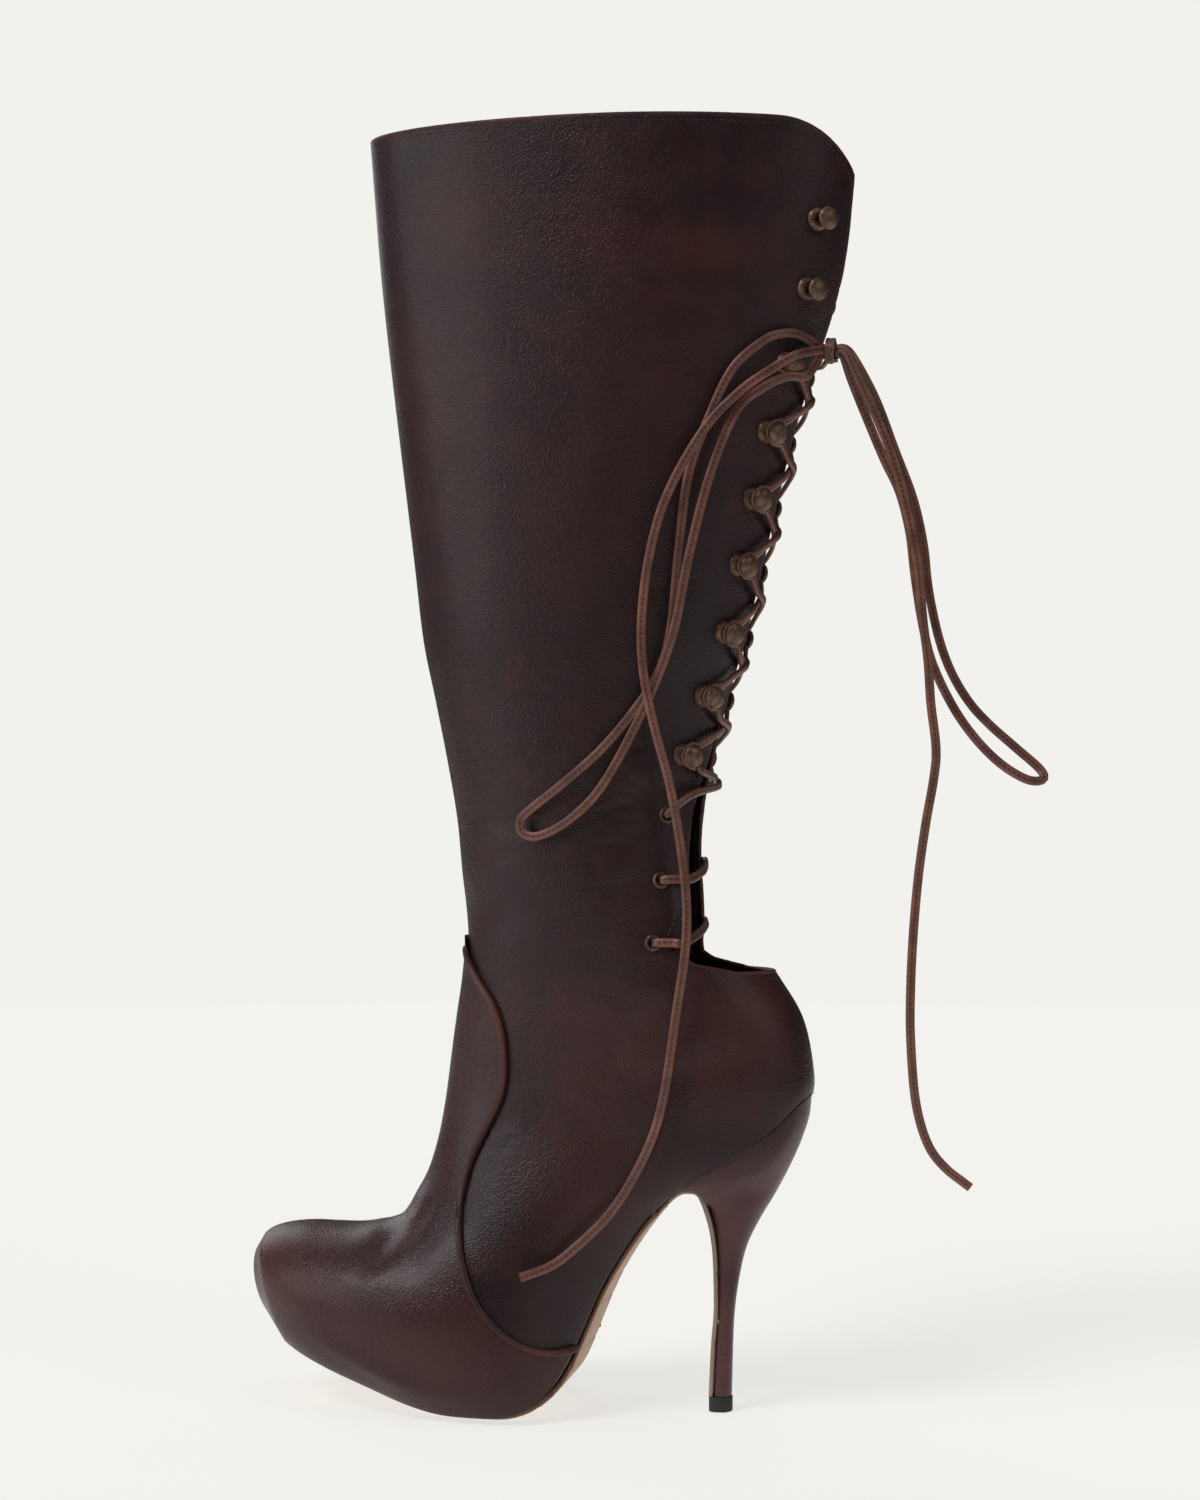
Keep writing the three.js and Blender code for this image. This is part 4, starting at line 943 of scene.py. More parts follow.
class BootSizes(bpy.types.PropertyGroup):
    lace_width: length_setting("Lace width", "Width of the flat lace", 3.6 * MM)
    lace_thickness: length_setting("Lace thickness", "Thickness of the folded lace", 1.9 * MM)
    bead: length_setting("Edge roll", "Radius of the rolled edge of the leather", 1.12 * MM)
    stitch_length: length_setting("Stitch", "Length of one stitch", 1.5 * MM)
    stitch_pitch: length_setting("Stitch pitch", "From one stitch to the next", 2.3 * MM)
    stitch_inset: length_setting("Stitch inset", "From an edge to its row of stitches", 2.4 * MM)
    thread: length_setting("Thread", "Thickness of the sewing thread", 0.5 * MM)
    grain: length_setting("Grain", "Size of one pebble of the leather's grain", 0.9 * MM)
    leather_colour: colour_setting("Leather", "Main colour of the leather", (0.0265, 0.0098, 0.0112))
    deep_colour: colour_setting("Leather, dark", "Darkest clouds", (0.018, 0.0068, 0.0078))
    warm_colour: colour_setting("Leather, warm", "Burnished patches", (0.062, 0.0165, 0.0135))
    heel_colour: colour_setting("Heel", "Leather of the heel", (0.11, 0.044, 0.044))
    edge_colour: colour_setting("Rolled edges", "Leather of the rolled edges", (0.09, 0.031, 0.025))
    breast_colour: colour_setting("Heel's front edge", "Raw edge of the sole on the heel",
                                  (0.3, 0.22, 0.17))
    lace_colour: colour_setting("Lace", "Leather of the lace", (0.2, 0.07, 0.047))
    thread_colour: colour_setting("Thread colour", "Sewing thread", (0.016, 0.010, 0.009))
    sole_colour: colour_setting("Sole", "Tan leather of the outsole", (0.47, 0.26, 0.14))
    metal_colour: colour_setting("Metal", "Antique finish", (0.075, 0.04, 0.025))
    floor_colour: colour_setting("Floor", "Pale floor and backdrop", (0.888, 0.88, 0.847))


def sizes():
    return bpy.context.scene.boot_sizes


# Operators

# Soft lamps far off: name, direction, spread in degrees, strength; and the glow of the pale floor
LAMPS = [
    ("key", (-1.5, -0.8, 0.45), 36, 0.85),
    ("high", (-0.75, -0.9, 1.3), 22, 1.4),
    ("fill", (1.5, -0.8, 0.8), 30, 0.35),
    ("top", (0.1, 0.2, 1.9), 40, 0.4),
    ("rear", (-1.1, 1.3, 0.8), 36, 0.5),
]
FLOOR_GLOW = 0.796


class BOOT_OT_stage(bpy.types.Operator):
    """Pale floor, soft light and the camera"""
    bl_idname = "boot.stage"
    bl_label = "Stage"

    def execute(self, context):
        size = sizes()
        bpy.ops.object.select_all(action="DESELECT")
        turn = math.radians(10)
        position = Vector((139.9, -1072.0, 242.8))
        bpy.ops.object.camera_add(location=world(position),
                                  rotation=(math.pi / 2, 0, turn))
        camera = context.object
        camera.data.sensor_fit = "VERTICAL"
        camera.data.sensor_height = 36
        camera.data.lens = 64.8
        camera.data.shift_y = 53 / 1500
        camera.data.clip_start = 0.05
        camera.data.clip_end = 60
        context.scene.camera = camera

        bpy.ops.mesh.primitive_circle_add(vertices=96, radius=2.2, fill_type="NGON",
                                          location=(0, 0, -0.0002))
        floor = context.object
        floor.name = "floor"
        pale, nodes, links, shader = fresh("pale_floor")
        shader.inputs["Base Color"].default_value = colour([0.3 * c for c in size.floor_colour])
        shader.inputs["Roughness"].default_value = 1.0
        shader.inputs["Specular IOR Level"].default_value = 0.0
        shader.inputs["Emission Color"].default_value = colour(size.floor_colour)
        shader.inputs["Emission Strength"].default_value = FLOOR_GLOW
        coat(floor, pale)

        studio = bpy.data.worlds.new("studio")
        studio.use_nodes = True
        nodes, links = studio.node_tree.nodes, studio.node_tree.links
        glow = nodes["Background"]
        glow.inputs["Color"].default_value = colour((1.0, 1.0, 1.0))
        glow.inputs["Strength"].default_value = 0.07
        backdrop = nodes.new("ShaderNodeBackground")
        backdrop.inputs["Color"].default_value = colour(size.floor_colour)
        seen = nodes.new("ShaderNodeLightPath")
        either = nodes.new("ShaderNodeMixShader")
        links.new(seen.outputs["Is Camera Ray"], either.inputs["Fac"])
        links.new(glow.outputs["Background"], either.inputs[1])
        links.new(backdrop.outputs["Background"], either.inputs[2])
        links.new(either.outputs["Shader"], nodes["World Output"].inputs["Surface"])
        context.scene.world = studio
        context.scene.view_settings.view_transform = "Standard"

        for name, place, spread, power in LAMPS:
            bpy.ops.object.light_add(type="SUN", location=place)
            lamp = context.object
            lamp.name = name
            lamp.data.angle = math.radians(spread)
            lamp.data.energy = power
            lamp.rotation_euler = Vector(place).to_track_quat("Z", "Y").to_euler()
        return {"FINISHED"}


class BOOT_OT_materials(bpy.types.Operator):
    """Leathers, thread, rubber and metal"""
    bl_idname = "boot.materials"
    bl_label = "Materials"

    def execute(self, context):
        size = sizes()
        leg_patches = [
            ((-51, -38, 466), 6, 14, 0.25), ((-35, -38, 460), 6, 9, 0.35), ((-17, -36, 458), 6, 8, 0.4),
            ((0, -33, 458), 6, 8, 0.4), ((17, -28, 457), 5, 8, 0.3), ((-103, -36, 480), 12, 22, 0.3),
            ((-132, -15, 396), 20, 34, 0.25), ((2, -28, 150), 14, 26, 0.5), ((16, -18, 162), 8, 16, 0.5),
            ((-47, -34, 146), 12, 20, 0.4), ((-44, -32, 95), 16, 24, 0.35), ((0, 30, 150), 18, 26, 0.5),
            ((-17, 36, 458), 14, 24, 0.45), ((-60, 36, 120), 18, 30, 0.35)]
        toe_patches = [
            ((-176, -16, 54), 14, 24, 0.6), ((-168, 14, 52), 14, 26, 0.6), ((-150, -38, 38), 12, 24, 0.45),
            ((-101, -44, 29), 14, 24, 0.4), ((-66, -38, 50), 12, 22, 0.35), ((-100, 40, 40), 20, 30, 0.4)]
        leg_wrinkles = [((-30, -32, 235), 26, 34, 0.8), ((-88, -30, 232), 14, 24, 0.6),
                        ((-20, -30, 155), 20, 28, 0.8), ((-30, -36, 500), 30, 34, 0.3),
                        ((-30, 32, 235), 26, 34, 0.8), ((22, -24, 420), 18, 26, 0.5),
                        ((10, -26, 330), 18, 30, 0.5), ((22, 24, 420), 18, 26, 0.5),
                        ((-78, -34, 117), 8, 16, 0.9), ((-10, 26, 160), 20, 28, 0.8)]
        toe_wrinkles = [((-118, -20, 78), 8, 18, 0.7), ((-104, -24, 110), 12, 26, 0.6)]
        base, deep, warm = size.leather_colour, size.deep_colour, size.warm_colour
        MATERIALS.update({
            "leg": leather("leg_leather", base, deep, warm, size.grain, 0.33, leg_patches,
                           leg_wrinkles),
            "vamp": leather("vamp_leather", tuple(1.6 * c for c in base), base, warm, size.grain,
                            0.29, toe_patches, toe_wrinkles),
            "edge": leather("edge_leather", size.edge_colour, base, size.edge_colour,
                            size.grain, 0.5),
            "sole_edge": plain("sole_edge_paint", (0.16, 0.08, 0.047), 0.45, 600.0),
            "breast_edge": plain("breast_edge_leather", tuple(size.breast_colour), 0.5, 600.0),
            "heel": leather("heel_leather", size.heel_colour, tuple(1.5 * c for c in base),
                            size.heel_colour, size.grain * 0.8, 0.3),
            # Near-black: the lining and the footbed, and also the painted shadow line where the heel meets
            # the counter
            "lining": plain("lining_and_painted_shadow", (0.012, 0.010, 0.010), 0.62),
            "sole": plain("sole_leather", tuple(size.sole_colour), 0.5, 600.0),
            "rubber": plain("tip_rubber", (0.014, 0.014, 0.014), 0.55),
            "thread": plain("sewing_thread", tuple(size.thread_colour), 0.6, 2500.0),
            "lace": lace_leather("lace_leather", size.lace_colour,
                                 tuple(0.45 * c for c in size.lace_colour), size),
            "eyelet": antique_metal("dark_brass", tuple(0.7 * c for c in size.metal_colour),
                                    (0.12, 0.08, 0.055)),
            "metal": antique_metal("antique_brass", size.metal_colour, (0.17, 0.095, 0.058)),
        })
        return {"FINISHED"}


def edge_path(inset, grow, step):
    """The edge of the opening down one flap, from the collar's front to behind the counter, with
    its places on the skin. inset: how far inside the leather it runs. Both sides follow."""
    halves = []
    for side in (-1, 1):
        places = []
        front = LEG_X - LEG_ROWS[0][1] * COLLAR_DEPTH
        corner = collar_corner(14, inset)
        for k in range(60):
            share = k / 59
            angle = math.pi - share ** 0.8 * (math.pi - 0.05)
            x = lerp(front - 4, corner[0][0], share)
            back = COLLAR_BACK - COLLAR_CORNER
            along = (x - (LEG_X - COLLAR_DEPTH)) / (back - (LEG_X - COLLAR_DEPTH))
            z = lerp(BOOT_HEIGHT + 1, COLLAR_BACK_HEIGHT, along) - inset
            if k == 0:
                places.append((height_place_any(z, math.pi), math.pi * side))
                continue
            if x <= skin_point(height_place_any(z, math.pi), math.pi).x + 0.8:
                continue
            places.append(side_place(x, z, side))
        places += [side_place(x, z, side) for x, z in corner[1:]
                   if skin_point(*side_place(x, z, side)).y * side > SLIT_WIDTH / 2 + inset]
        top = min(skin_point(*places[-1]).z - 2, COLLAR_BACK_HEIGHT - COLLAR_CORNER * 0.4)
        count = 110
        for k in range(count + 1):
            z = lerp(top, SCOOP_HEIGHT + 0.5 - inset * 0.2, k / count)
            places.append(back_place(slit_half(max(z, SCOOP_HEIGHT)) + inset, z, side))
        low = SCOOP_HEIGHT - inset
        start = abs(skin_point(*places[-1]).y) - 0.8
        for k in range(16):
            places.append(back_place(start * (1 - k / 15) + 0.01, low, side))
        halves.append(places)
    outer, inner = halves
    places = outer + inner[::-1]
    points = [skin_point(t, a, grow) for t, a in places]
    dense = even([p for p in points], step)
    return dense, places


def height_place_any(z, angle):
    low, high = 0.0, LAST_LEG + 1.0
    for _ in range(24):
        middle = (low + high) / 2
        if skin_point(middle, angle).z > z:
            low = middle
        else:
            high = middle
    return low


class BOOT_OT_upper(bpy.types.Operator):
    """The boot's hollow leather upper with its lining, cut at the collar, the slit and the eyelet holes"""
    bl_idname = "boot.upper"
    bl_label = "Upper"

    def execute(self, context):
        leg, edge, lining = material("leg"), material("edge"), material("lining")
        piece = coat(form("upper_leather", 0), leg)
        carve(piece, coat(form("inside", -WALL), lining), "DIFFERENCE")
        carve(piece, coat(below_feather(0), edge), "DIFFERENCE")
        high = BOOT_HEIGHT + 60
        ahead = LEG_X - COLLAR_DEPTH
        corner = collar_corner(16)
        collar = [(ahead, BOOT_HEIGHT + 1), *corner, (COLLAR_BACK + 20, corner[-1][1]),
                  (COLLAR_BACK + 20, high), (ahead, high)]
        carve(piece, coat(prism("collar_cut", collar, "Y", -140, 140), edge), "DIFFERENCE")
        side = [(half, z) for z, half in SCOOP_LINE] + [(SLIT_WIDTH / 2, high)]
        slit = side + [(-y, z) for y, z in reversed(side)]
        carve(piece, coat(prism("slit_cut", slit, "X", LEG_X + 5, COLLAR_BACK + 40), edge),
              "DIFFERENCE")
        for sign in (-1, 1):
            for row in range(len(EYELET_HEIGHTS)):
                spot = flap_place(eyelet_height(row, sign), EYELET_INSET, sign)
                bpy.ops.object.select_all(action="DESELECT")
                bpy.ops.mesh.primitive_cylinder_add(
                    vertices=24, radius=(EYELET_HOLE_RADIUS + 0.6) * MM, depth=12 * MM)
                punch = context.object
                turn = spot_frame(spot, sign)
                punch.data.transform(turn)
                carve(piece, coat(punch, edge), "DIFFERENCE")
        rounded(piece, 38)
        finish(piece, "leg_leather", "upper")
        return {"FINISHED"}


def spot_frame(spot, sign):
    """A flap's own frame: X to its edge, Z out of the leather."""
    point, normal, upward, to_edge = spot
    y = upward * -sign
    turn = Matrix((
        (to_edge.x, y.x, normal.x, 0), (to_edge.y, y.y, normal.y, 0),
        (to_edge.z, y.z, normal.z, 0), (0, 0, 0, 1)))
    return Matrix.Translation(world(point)) @ turn


class BOOT_OT_edges(bpy.types.Operator):
    """Rolled edges of the collar, the slit and the cut-out, and the stitches beside them"""
    bl_idname = "boot.edges"
    bl_label = "Edges"

    def execute(self, context):
        size = sizes()
        path, _ = edge_path(0.1, -WALL / 2, 2.2)
        roll = swept("edge_roll", path, round_profile(size.bead / MM, 10), [material("edge")])
        rounded(roll, 60)
        finish(roll, "binding_leather")
        inset = size.stitch_inset / MM
        row, _ = edge_path(inset, 0.05, size.stitch_pitch / MM)
        normals = [outside_normal(p) for p in row]
        stitches = stitch_row("edge_stitches", row, normals, size, material("thread"))
        finish(stitches, "leg_leather")
        return {"FINISHED"}


def outside_normal(point):
    """Direction out of the leg at a point near its skin."""
    side = -1 if point.y < 0 else 1
    t, angle = side_place(point.x, point.z, side)
    return skin_normal(min(max(t, 0.05), LAST - 0.1), angle)


class BOOT_OT_vamp(bpy.types.Operator):
    """The vamp over the toes and instep, and its rolled seam"""
    bl_idname = "boot.vamp"
    bl_label = "Vamp"

    def execute(self, context):
        size = sizes()
        skin = material("vamp")
        first = len(LEG_ROWS) - 3
        piece = coat(form("vamp_leather", GAP + VAMP_LEATHER, first), skin)
        carve(piece, coat(form("under_vamp", 0.1, first - 1), skin), "DIFFERENCE")
        carve(piece, coat(vamp_region(1.2), skin), "INTERSECT")
        carve(piece, coat(below_feather(0), skin), "DIFFERENCE")
        rounded(piece, 38)
        finish(piece, "vamp_leather", "vamp")

        line = offset_line(VAMP_LINE, -0.3 - BINDING_WIDTH / 2)
        seam = []
        for side in (-1, 1):
            half = [side_point(x, z, side, 1.15) for x, z in line
                    if skin_front(z) + 0.4 < x and z > feather_height(x) + 0.5]
            seam.append(half)
        path = even(seam[0][::-1] + seam[1], 1.6)
        roll = swept("vamp_roll", path, band_profile(BINDING_WIDTH, 2.8,
                                                     lambda p, i: outside_normal(p), 14),
                     [material("edge")])
        rounded(roll, 60)
        finish(roll, "binding_leather", "vamp_binding")
        return {"FINISHED"}


def skin_front(z):
    """Where the front of the boot is at a height, seen from the side."""
    return skin_point(height_place_front(z), math.pi).x


def height_place_front(z):
    low, high = 0.0, float(LAST)
    for _ in range(26):
        middle = (low + high) / 2
        if skin_point(middle, math.pi).z > z:
            low = middle
        else:
            high = middle
    return low


def feather_height(x):
    for (ax, az), (bx, bz) in zip(FEATHER_LINE, FEATHER_LINE[1:]):
        if ax <= x <= bx:
            return lerp(az, bz, (x - ax) / (bx - ax))
    return 0.0


# Sole and heel

def sole_thickness(x):
    return lerp(OUTSOLE, BREAST_FLAP, smooth_step(x, along_foot(0.45), along_foot(0.38)))


HEEL_SECTIONS = [
    (lerp(HEEL_TIP_HEIGHT + GAP, HEEL_HEIGHT, up), front * COUNTER_OVERHANG,
     back * COUNTER_OVERHANG, width * SEAT_WIDTH) for up, front, back, width in HEEL_ROWS
]


def heel_at(z):
    above = max(next((i for i, row in enumerate(HEEL_SECTIONS) if row[0] > z), 1), 1)
    a, b = HEEL_SECTIONS[above - 1][0], HEEL_SECTIONS[above][0]
    return blend(HEEL_SECTIONS, above - 1 + (z - a) / (b - a))


def level_ring(row, count):
    z, front, back, width = row
    ring = []
    for k in range(count):
        cos, sin = math.cos(TAU * k / count), math.sin(TAU * k / count)
        power = 2 / (4 if cos < 0 else 2.1)
        ring.append((
            (front + back) / 2 + math.copysign(abs(cos) ** power, cos) * (back - front) / 2,
            math.copysign(abs(sin) ** power, sin) * width / 2, z))
    return ring


def sole_under():
    """The underside of the sole, from the toe, under the arch and down the heel's front."""
    waist = [(x, max(z, 0.0)) for x, z in offset_line(
        FEATHER_LINE, lambda x: -GAP - sole_thickness(x)) if x < along_foot(0.262)]
    flap = [(row[1] - GAP - BREAST_FLAP, row[0]) for row in reversed(HEEL_SECTIONS)
            if row[0] < 0.63 * HEEL_HEIGHT]
    arch = [(along_foot(a), up * HEEL_HEIGHT) for a, up in ARCH]
    curve = [tuple(p) for p in smooth_line([waist[-8], waist[-1], *arch, *flap], 90)]
    tail = [p for p in curve if p[0] > waist[-1][0] + 0.6]
    return waist, tail


def widths_along():
    rows = []
    for k in range(240):
        t = lerp(LAST, LAST_LEG + 3, k / 239)
        fx, fz, bx, bz, width, swing, widest, _, round_back, _ = blend(SECTIONS, t)
        low, high = 0.6, 1.0
        for _ in range(24):
            middle = (low + high) / 2
            if lerp(fz, bz, middle) > feather_height(lerp(fx, bx, middle)):
                low = middle
            else:
                high = middle
        past = max((low - widest) / (1 - widest), 0)
        half = width / 2 * max(1 - past ** round_back, 0) ** (1 / round_back)
        rows.append((lerp(fx, bx, low), swing, half))
    return sorted(rows)


class BOOT_OT_sole(bpy.types.Operator):
    """Tan outsole under the foot and down the heel's front"""
    bl_idname = "boot.sole"
    bl_label = "Outsole"

    def execute(self, context):
        waist, tail = sole_under()
        under = waist + tail
        top = offset_line(under, sole_thickness)
        rows = widths_along()
        rings = []
        for i, (x, z) in enumerate(under):
            _, swing, half = next((row for row in rows if row[0] >= x), rows[-1])
            inset = lerp(BALL_INSET, WAIST_INSET,
                         smooth_step(x, along_foot(0.45), along_foot(0.36)))
            side = half - inset
            if i >= len(waist):
                side = min(side, FLAP_SHARE * heel_at(z)[3] / 2)
            if side < 2.5:
                continue
            (tx, tz) = top[i]
            shape = [(1, side - 0.4), (0.75, side), (0.4, side), (0.12, side - 0.5), (0, side - 1.3)]
            right = [(lerp(x, tx, up), swing + y, lerp(z, tz, up)) for up, y in shape]
            left = [(lerp(x, tx, up), swing - y, lerp(z, tz, up)) for up, y in reversed(shape)]
            rings.append(right + left)
        piece = outward(loft("outsole_leather", rings, middle_of(rings[0]), middle_of(rings[-1])))
        coat(piece, material("sole"), material("sole_edge"), material("breast_edge"))
        arch = world((waist[-1][0] + 5, 0, 0)).x
        for face in piece.data.polygons:
            if abs(face.normal.y) > 0.5:
                face.material_index = 2 if face.center.x > arch else 1
        rounded(piece, 40)
        finish(piece, "sole_leather", "outsole")
        return {"FINISHED"}


def flush(point, row):
    """A point of the heel's skin, brought out to the counter's where they meet."""
    x, y, z = point
    _, front, back, width = row
    over = min(max(x, front + 1), back - 1)
    seam = feather_height(over)
    share = abs(2 * over - front - back) / (back - front)
    power = 4 if 2 * over < front + back else 2.1
    here = width / 2 * (1 - share ** power) ** (1 / power)
    wanted = abs(side_point(over, seam, -1 if y < 0 else 1).y)
    stretch = min(max((wanted - 0.5) / max(here, 1), 0.9), 1.3)
    near = 1 - smooth_step(seam - z, 0, 22)
    if power < 4:
        near *= 1 - smooth_step(share, 0.8, 0.98)
    return (x, y * lerp(1, stretch, near), z)


class BOOT_OT_heel(bpy.types.Operator):
    """Covered stiletto heel and its rubber tip"""
    bl_idname = "boot.heel"
    bl_label = "Heel"

    def execute(self, context):
        skin = material("heel")
        last = len(HEEL_SECTIONS) - 1
        rings = []
        for k in range(91):
            row = blend(HEEL_SECTIONS, last * k / 90)
            reach = (15 * smooth_step(row[0], 0.65 * HEEL_HEIGHT, 0.71 * HEEL_HEIGHT)
                     + 14 * smooth_step(row[0], 0.75 * HEEL_HEIGHT, HEEL_HEIGHT))
            row[1] -= reach
            rings.append([flush(point, row) for point in level_ring(row, 72)])
        piece = coat(outward(loft("heel_cover", rings, middle_of(rings[0]), middle_of(rings[-1]))),
                     skin)
        waist, tail = sole_under()
        line = offset_line(waist[-3:] + tail, lambda x: sole_thickness(x) + GAP)
        ahead = along_foot(1)
        outline = [*line, (line[-1][0], -60), (ahead, -60), (ahead, line[0][1])]
        carve(piece, coat(below_feather(0.05), skin), "INTERSECT")
        carve(piece, coat(prism("sole_side", outline, "Y", -140, 140), skin), "DIFFERENCE")
        rounded(piece, 38)
        finish(piece, "heel_leather", "heel")

        # A near-black cord in the lining's colour along the join of the heel cover and the counter: a
        # painted shadow line for the shade where they meet
        seam = [x for x, z in FEATHER_LINE if along_foot(0.2) < x < COUNTER_OVERHANG - 0.5]
        halves = [[side_point(x, feather_height(x), side, 0.05) for x in seam] for side in (-1, 1)]
        line = swept("heel_shadow_line", even(halves[0] + halves[1][::-1], 1.5), round_profile(0.32, 6),
                     [material("lining")])
        finish(rounded(line, 60), "heel_leather")

        _, front, back, width = HEEL_SECTIONS[0]
        rows = [(0.0, 0.25), (0.25, 0.0), (HEEL_TIP_HEIGHT - 0.3, 0.0), (HEEL_TIP_HEIGHT, 0.15)]
        rings = [level_ring((z, front - GAP - BREAST_FLAP + cut, back + TIP_LIP - cut,
                             width + 2 * (TIP_LIP - cut)), 48) for z, cut in rows]
        tip = outward(loft("rubber_tip", rings, middle_of(rings[0]), middle_of(rings[-1])))
        coat(tip, material("rubber"))
        rounded(tip, 40)
        finish(tip, "tip_rubber", "heel_tip")
        return {"FINISHED"}


# Hooks and eyelets

def spun(name, profile, steps=28):
    """A turned shape: its profile of radius and height is extruded from a point and spun."""
    rings = [[(r * math.cos(TAU * k / steps), r * math.sin(TAU * k / steps), z)
              for k in range(steps)] for r, z in profile]
    piece = loft(name, rings, (0, 0, profile[0][1]), (0, 0, profile[-1][1]))
    piece.data.transform(Matrix.Translation(-SHIFT * MM))
    return outward(piece)


class BOOT_OT_hooks(bpy.types.Operator):
    """Lacing hooks: ring base, neck and domed oval cap"""
    bl_idname = "boot.hooks"
    bl_label = "Hooks"

    def execute(self, context):
        lace = LACE_SOLID / 2
        top = GAP + HOOK_BASE_THICKNESS
        cap_from = top + GAP + 2 * lace + GAP
        base = spun("base", [
            (1.0, 0.25), (1.2, top * 0.8), (1.7, top + 0.35), (2.6, top + 0.75),
            (3.5, top + 0.65), (4.2, top + 0.1), (HOOK_BASE_RADIUS, 0.1), (4.0, -0.1)])
        neck = spun("neck", [(1.9, top), (HOOK_NECK_RADIUS, top + 0.7),
                             (HOOK_NECK_RADIUS, cap_from - 0.4), (2.0, cap_from + 0.3)], 16)
        neck.data.transform(Matrix.Translation((HOOK_NECK_SHIFT * MM, 0, 0)))
        reach, height = HOOK_CAP_RADIUS, HOOK_CAP_HEIGHT
        cap = spun("cap", [
            (0.7 * reach, cap_from + 0.15), (0.93 * reach, cap_from + 0.25),
            (reach, cap_from + 0.3 * height), (0.93 * reach, cap_from + 0.55 * height),
            (0.75 * reach, cap_from + 0.8 * height), (0.5 * reach, cap_from + 0.94 * height),
            (0.22 * reach, cap_from + height)])
        cap.data.transform(Matrix.Diagonal((1.12, 1.16, 1.0, 1.0)))
        cap.data.transform(Matrix.Translation((HOOK_CAP_SHIFT * MM, 0, 0)))
        pattern = rounded(coat(merge("hook_pattern", [base, neck, cap]), material("metal")), 50)
        for side, sign in (("outer", -1), ("inner", 1)):
            for i in range(len(HOOK_HEIGHTS)):
                name = f"hook_{side}_{i + 1}"
                only(pattern)
                bpy.ops.object.duplicate()
                piece = context.object
                piece.name = f"{name}_metal"
                piece.data.transform(spot_frame(hook_spot(i, sign), sign))
                finish(piece, "antique_brass", name)
        bpy.data.objects.remove(pattern)
        return {"FINISHED"}


class BOOT_OT_eyelets(bpy.types.Operator):
    """Eyelets below the hooks"""
    bl_idname = "boot.eyelets"
    bl_label = "Eyelets"

    def execute(self, context):
        hole, rim, top = EYELET_HOLE_RADIUS, EYELET_RADIUS, GAP + EYELET_FLANGE
        tube = hole + 0.45
        profile = [(tube, -WALL), (tube, 0.0), (rim, 0.05), (rim, 0.45 * top), (0.9 * rim, 0.85 * top),
                   (0.78 * rim, top), (0.66 * rim, 0.85 * top), (hole, 0.3 * top), (hole, -WALL)]
        steps = 28
        rings = [[(r * math.cos(TAU * k / steps), r * math.sin(TAU * k / steps), z)
                  for k in range(steps)] for r, z in profile]
        bpy.ops.object.select_all(action="DESELECT")
        bpy.ops.mesh.primitive_grid_add(x_subdivisions=steps, y_subdivisions=len(profile) - 1,
                                        size=2)
        pattern = context.object
        columns = steps + 1
        for k, vertex in enumerate(pattern.data.vertices):
            row, column = divmod(k, columns)
            vertex.co = Vector(rings[row][column % steps]) * MM
        only(pattern)
        bpy.ops.object.mode_set(mode="EDIT")
        bpy.ops.mesh.select_all(action="SELECT")
        bpy.ops.mesh.remove_doubles(threshold=0.00001)
        bpy.ops.mesh.select_all(action="DESELECT")
        bpy.ops.mesh.select_non_manifold()
        bpy.ops.mesh.bridge_edge_loops()
        bpy.ops.mesh.select_all(action="SELECT")
        bpy.ops.mesh.normals_make_consistent(inside=False)
        bpy.ops.object.mode_set(mode="OBJECT")
        rounded(coat(pattern, material("eyelet")), 50)
        for side, sign in (("outer", -1), ("inner", 1)):
            for row in range(len(EYELET_HEIGHTS)):
                name = f"eyelet_{side}_{row + 1}"
                only(pattern)
                bpy.ops.object.duplicate()
                piece = context.object
                piece.name = f"{name}_metal"
                spot = flap_place(eyelet_height(row, sign), EYELET_INSET, sign)
                piece.data.transform(spot_frame(spot, sign))
                finish(piece, "antique_brass", name)
        bpy.data.objects.remove(pattern)
        return {"FINISHED"}


# Lace

def over_flap(z, inset, side, out):
    return off_spot(flap_place(z, inset, side), 0, 0, out)


def crossing(z, out):
    point, normal, _, _ = flap_place(z, 0, 1)
    return Vector((point.x + max(out / max(normal.x, 0.5), out), 0, z))


def round_hook(i, side):
    spot = hook_spot(i, side)
    lace = LACE_SOLID / 2
    clear = HOOK_NECK_RADIUS + GAP + lace + LACE_SLACK
    height = GAP + HOOK_BASE_THICKNESS + GAP + lace
    return [
        off_spot(spot, HOOK_NECK_SHIFT + 3.2, clear + 0.4, height),
        off_spot(spot, HOOK_NECK_SHIFT - 0.6, clear, height),
        off_spot(spot, HOOK_NECK_SHIFT - clear, 0, height),
        off_spot(spot, HOOK_NECK_SHIFT - 0.6, -clear, height),
        off_spot(spot, HOOK_NECK_SHIFT + 3.2, -clear - 0.4, height),
    ]


def lace_piece(name, points, facing_at=None, width=None):
    size = sizes()
    count = 8 * len(points)
    path = even([Vector(p) for p in smooth_line([tuple(p) for p in points], count)], 1.5)
    facing = facing_at or (lambda p, i: outside_normal(p))
    band = band_profile((width or size.lace_width) / MM, size.lace_thickness / MM, facing)
    return rounded(swept(name, path, band, [material("lace")]), 60), path


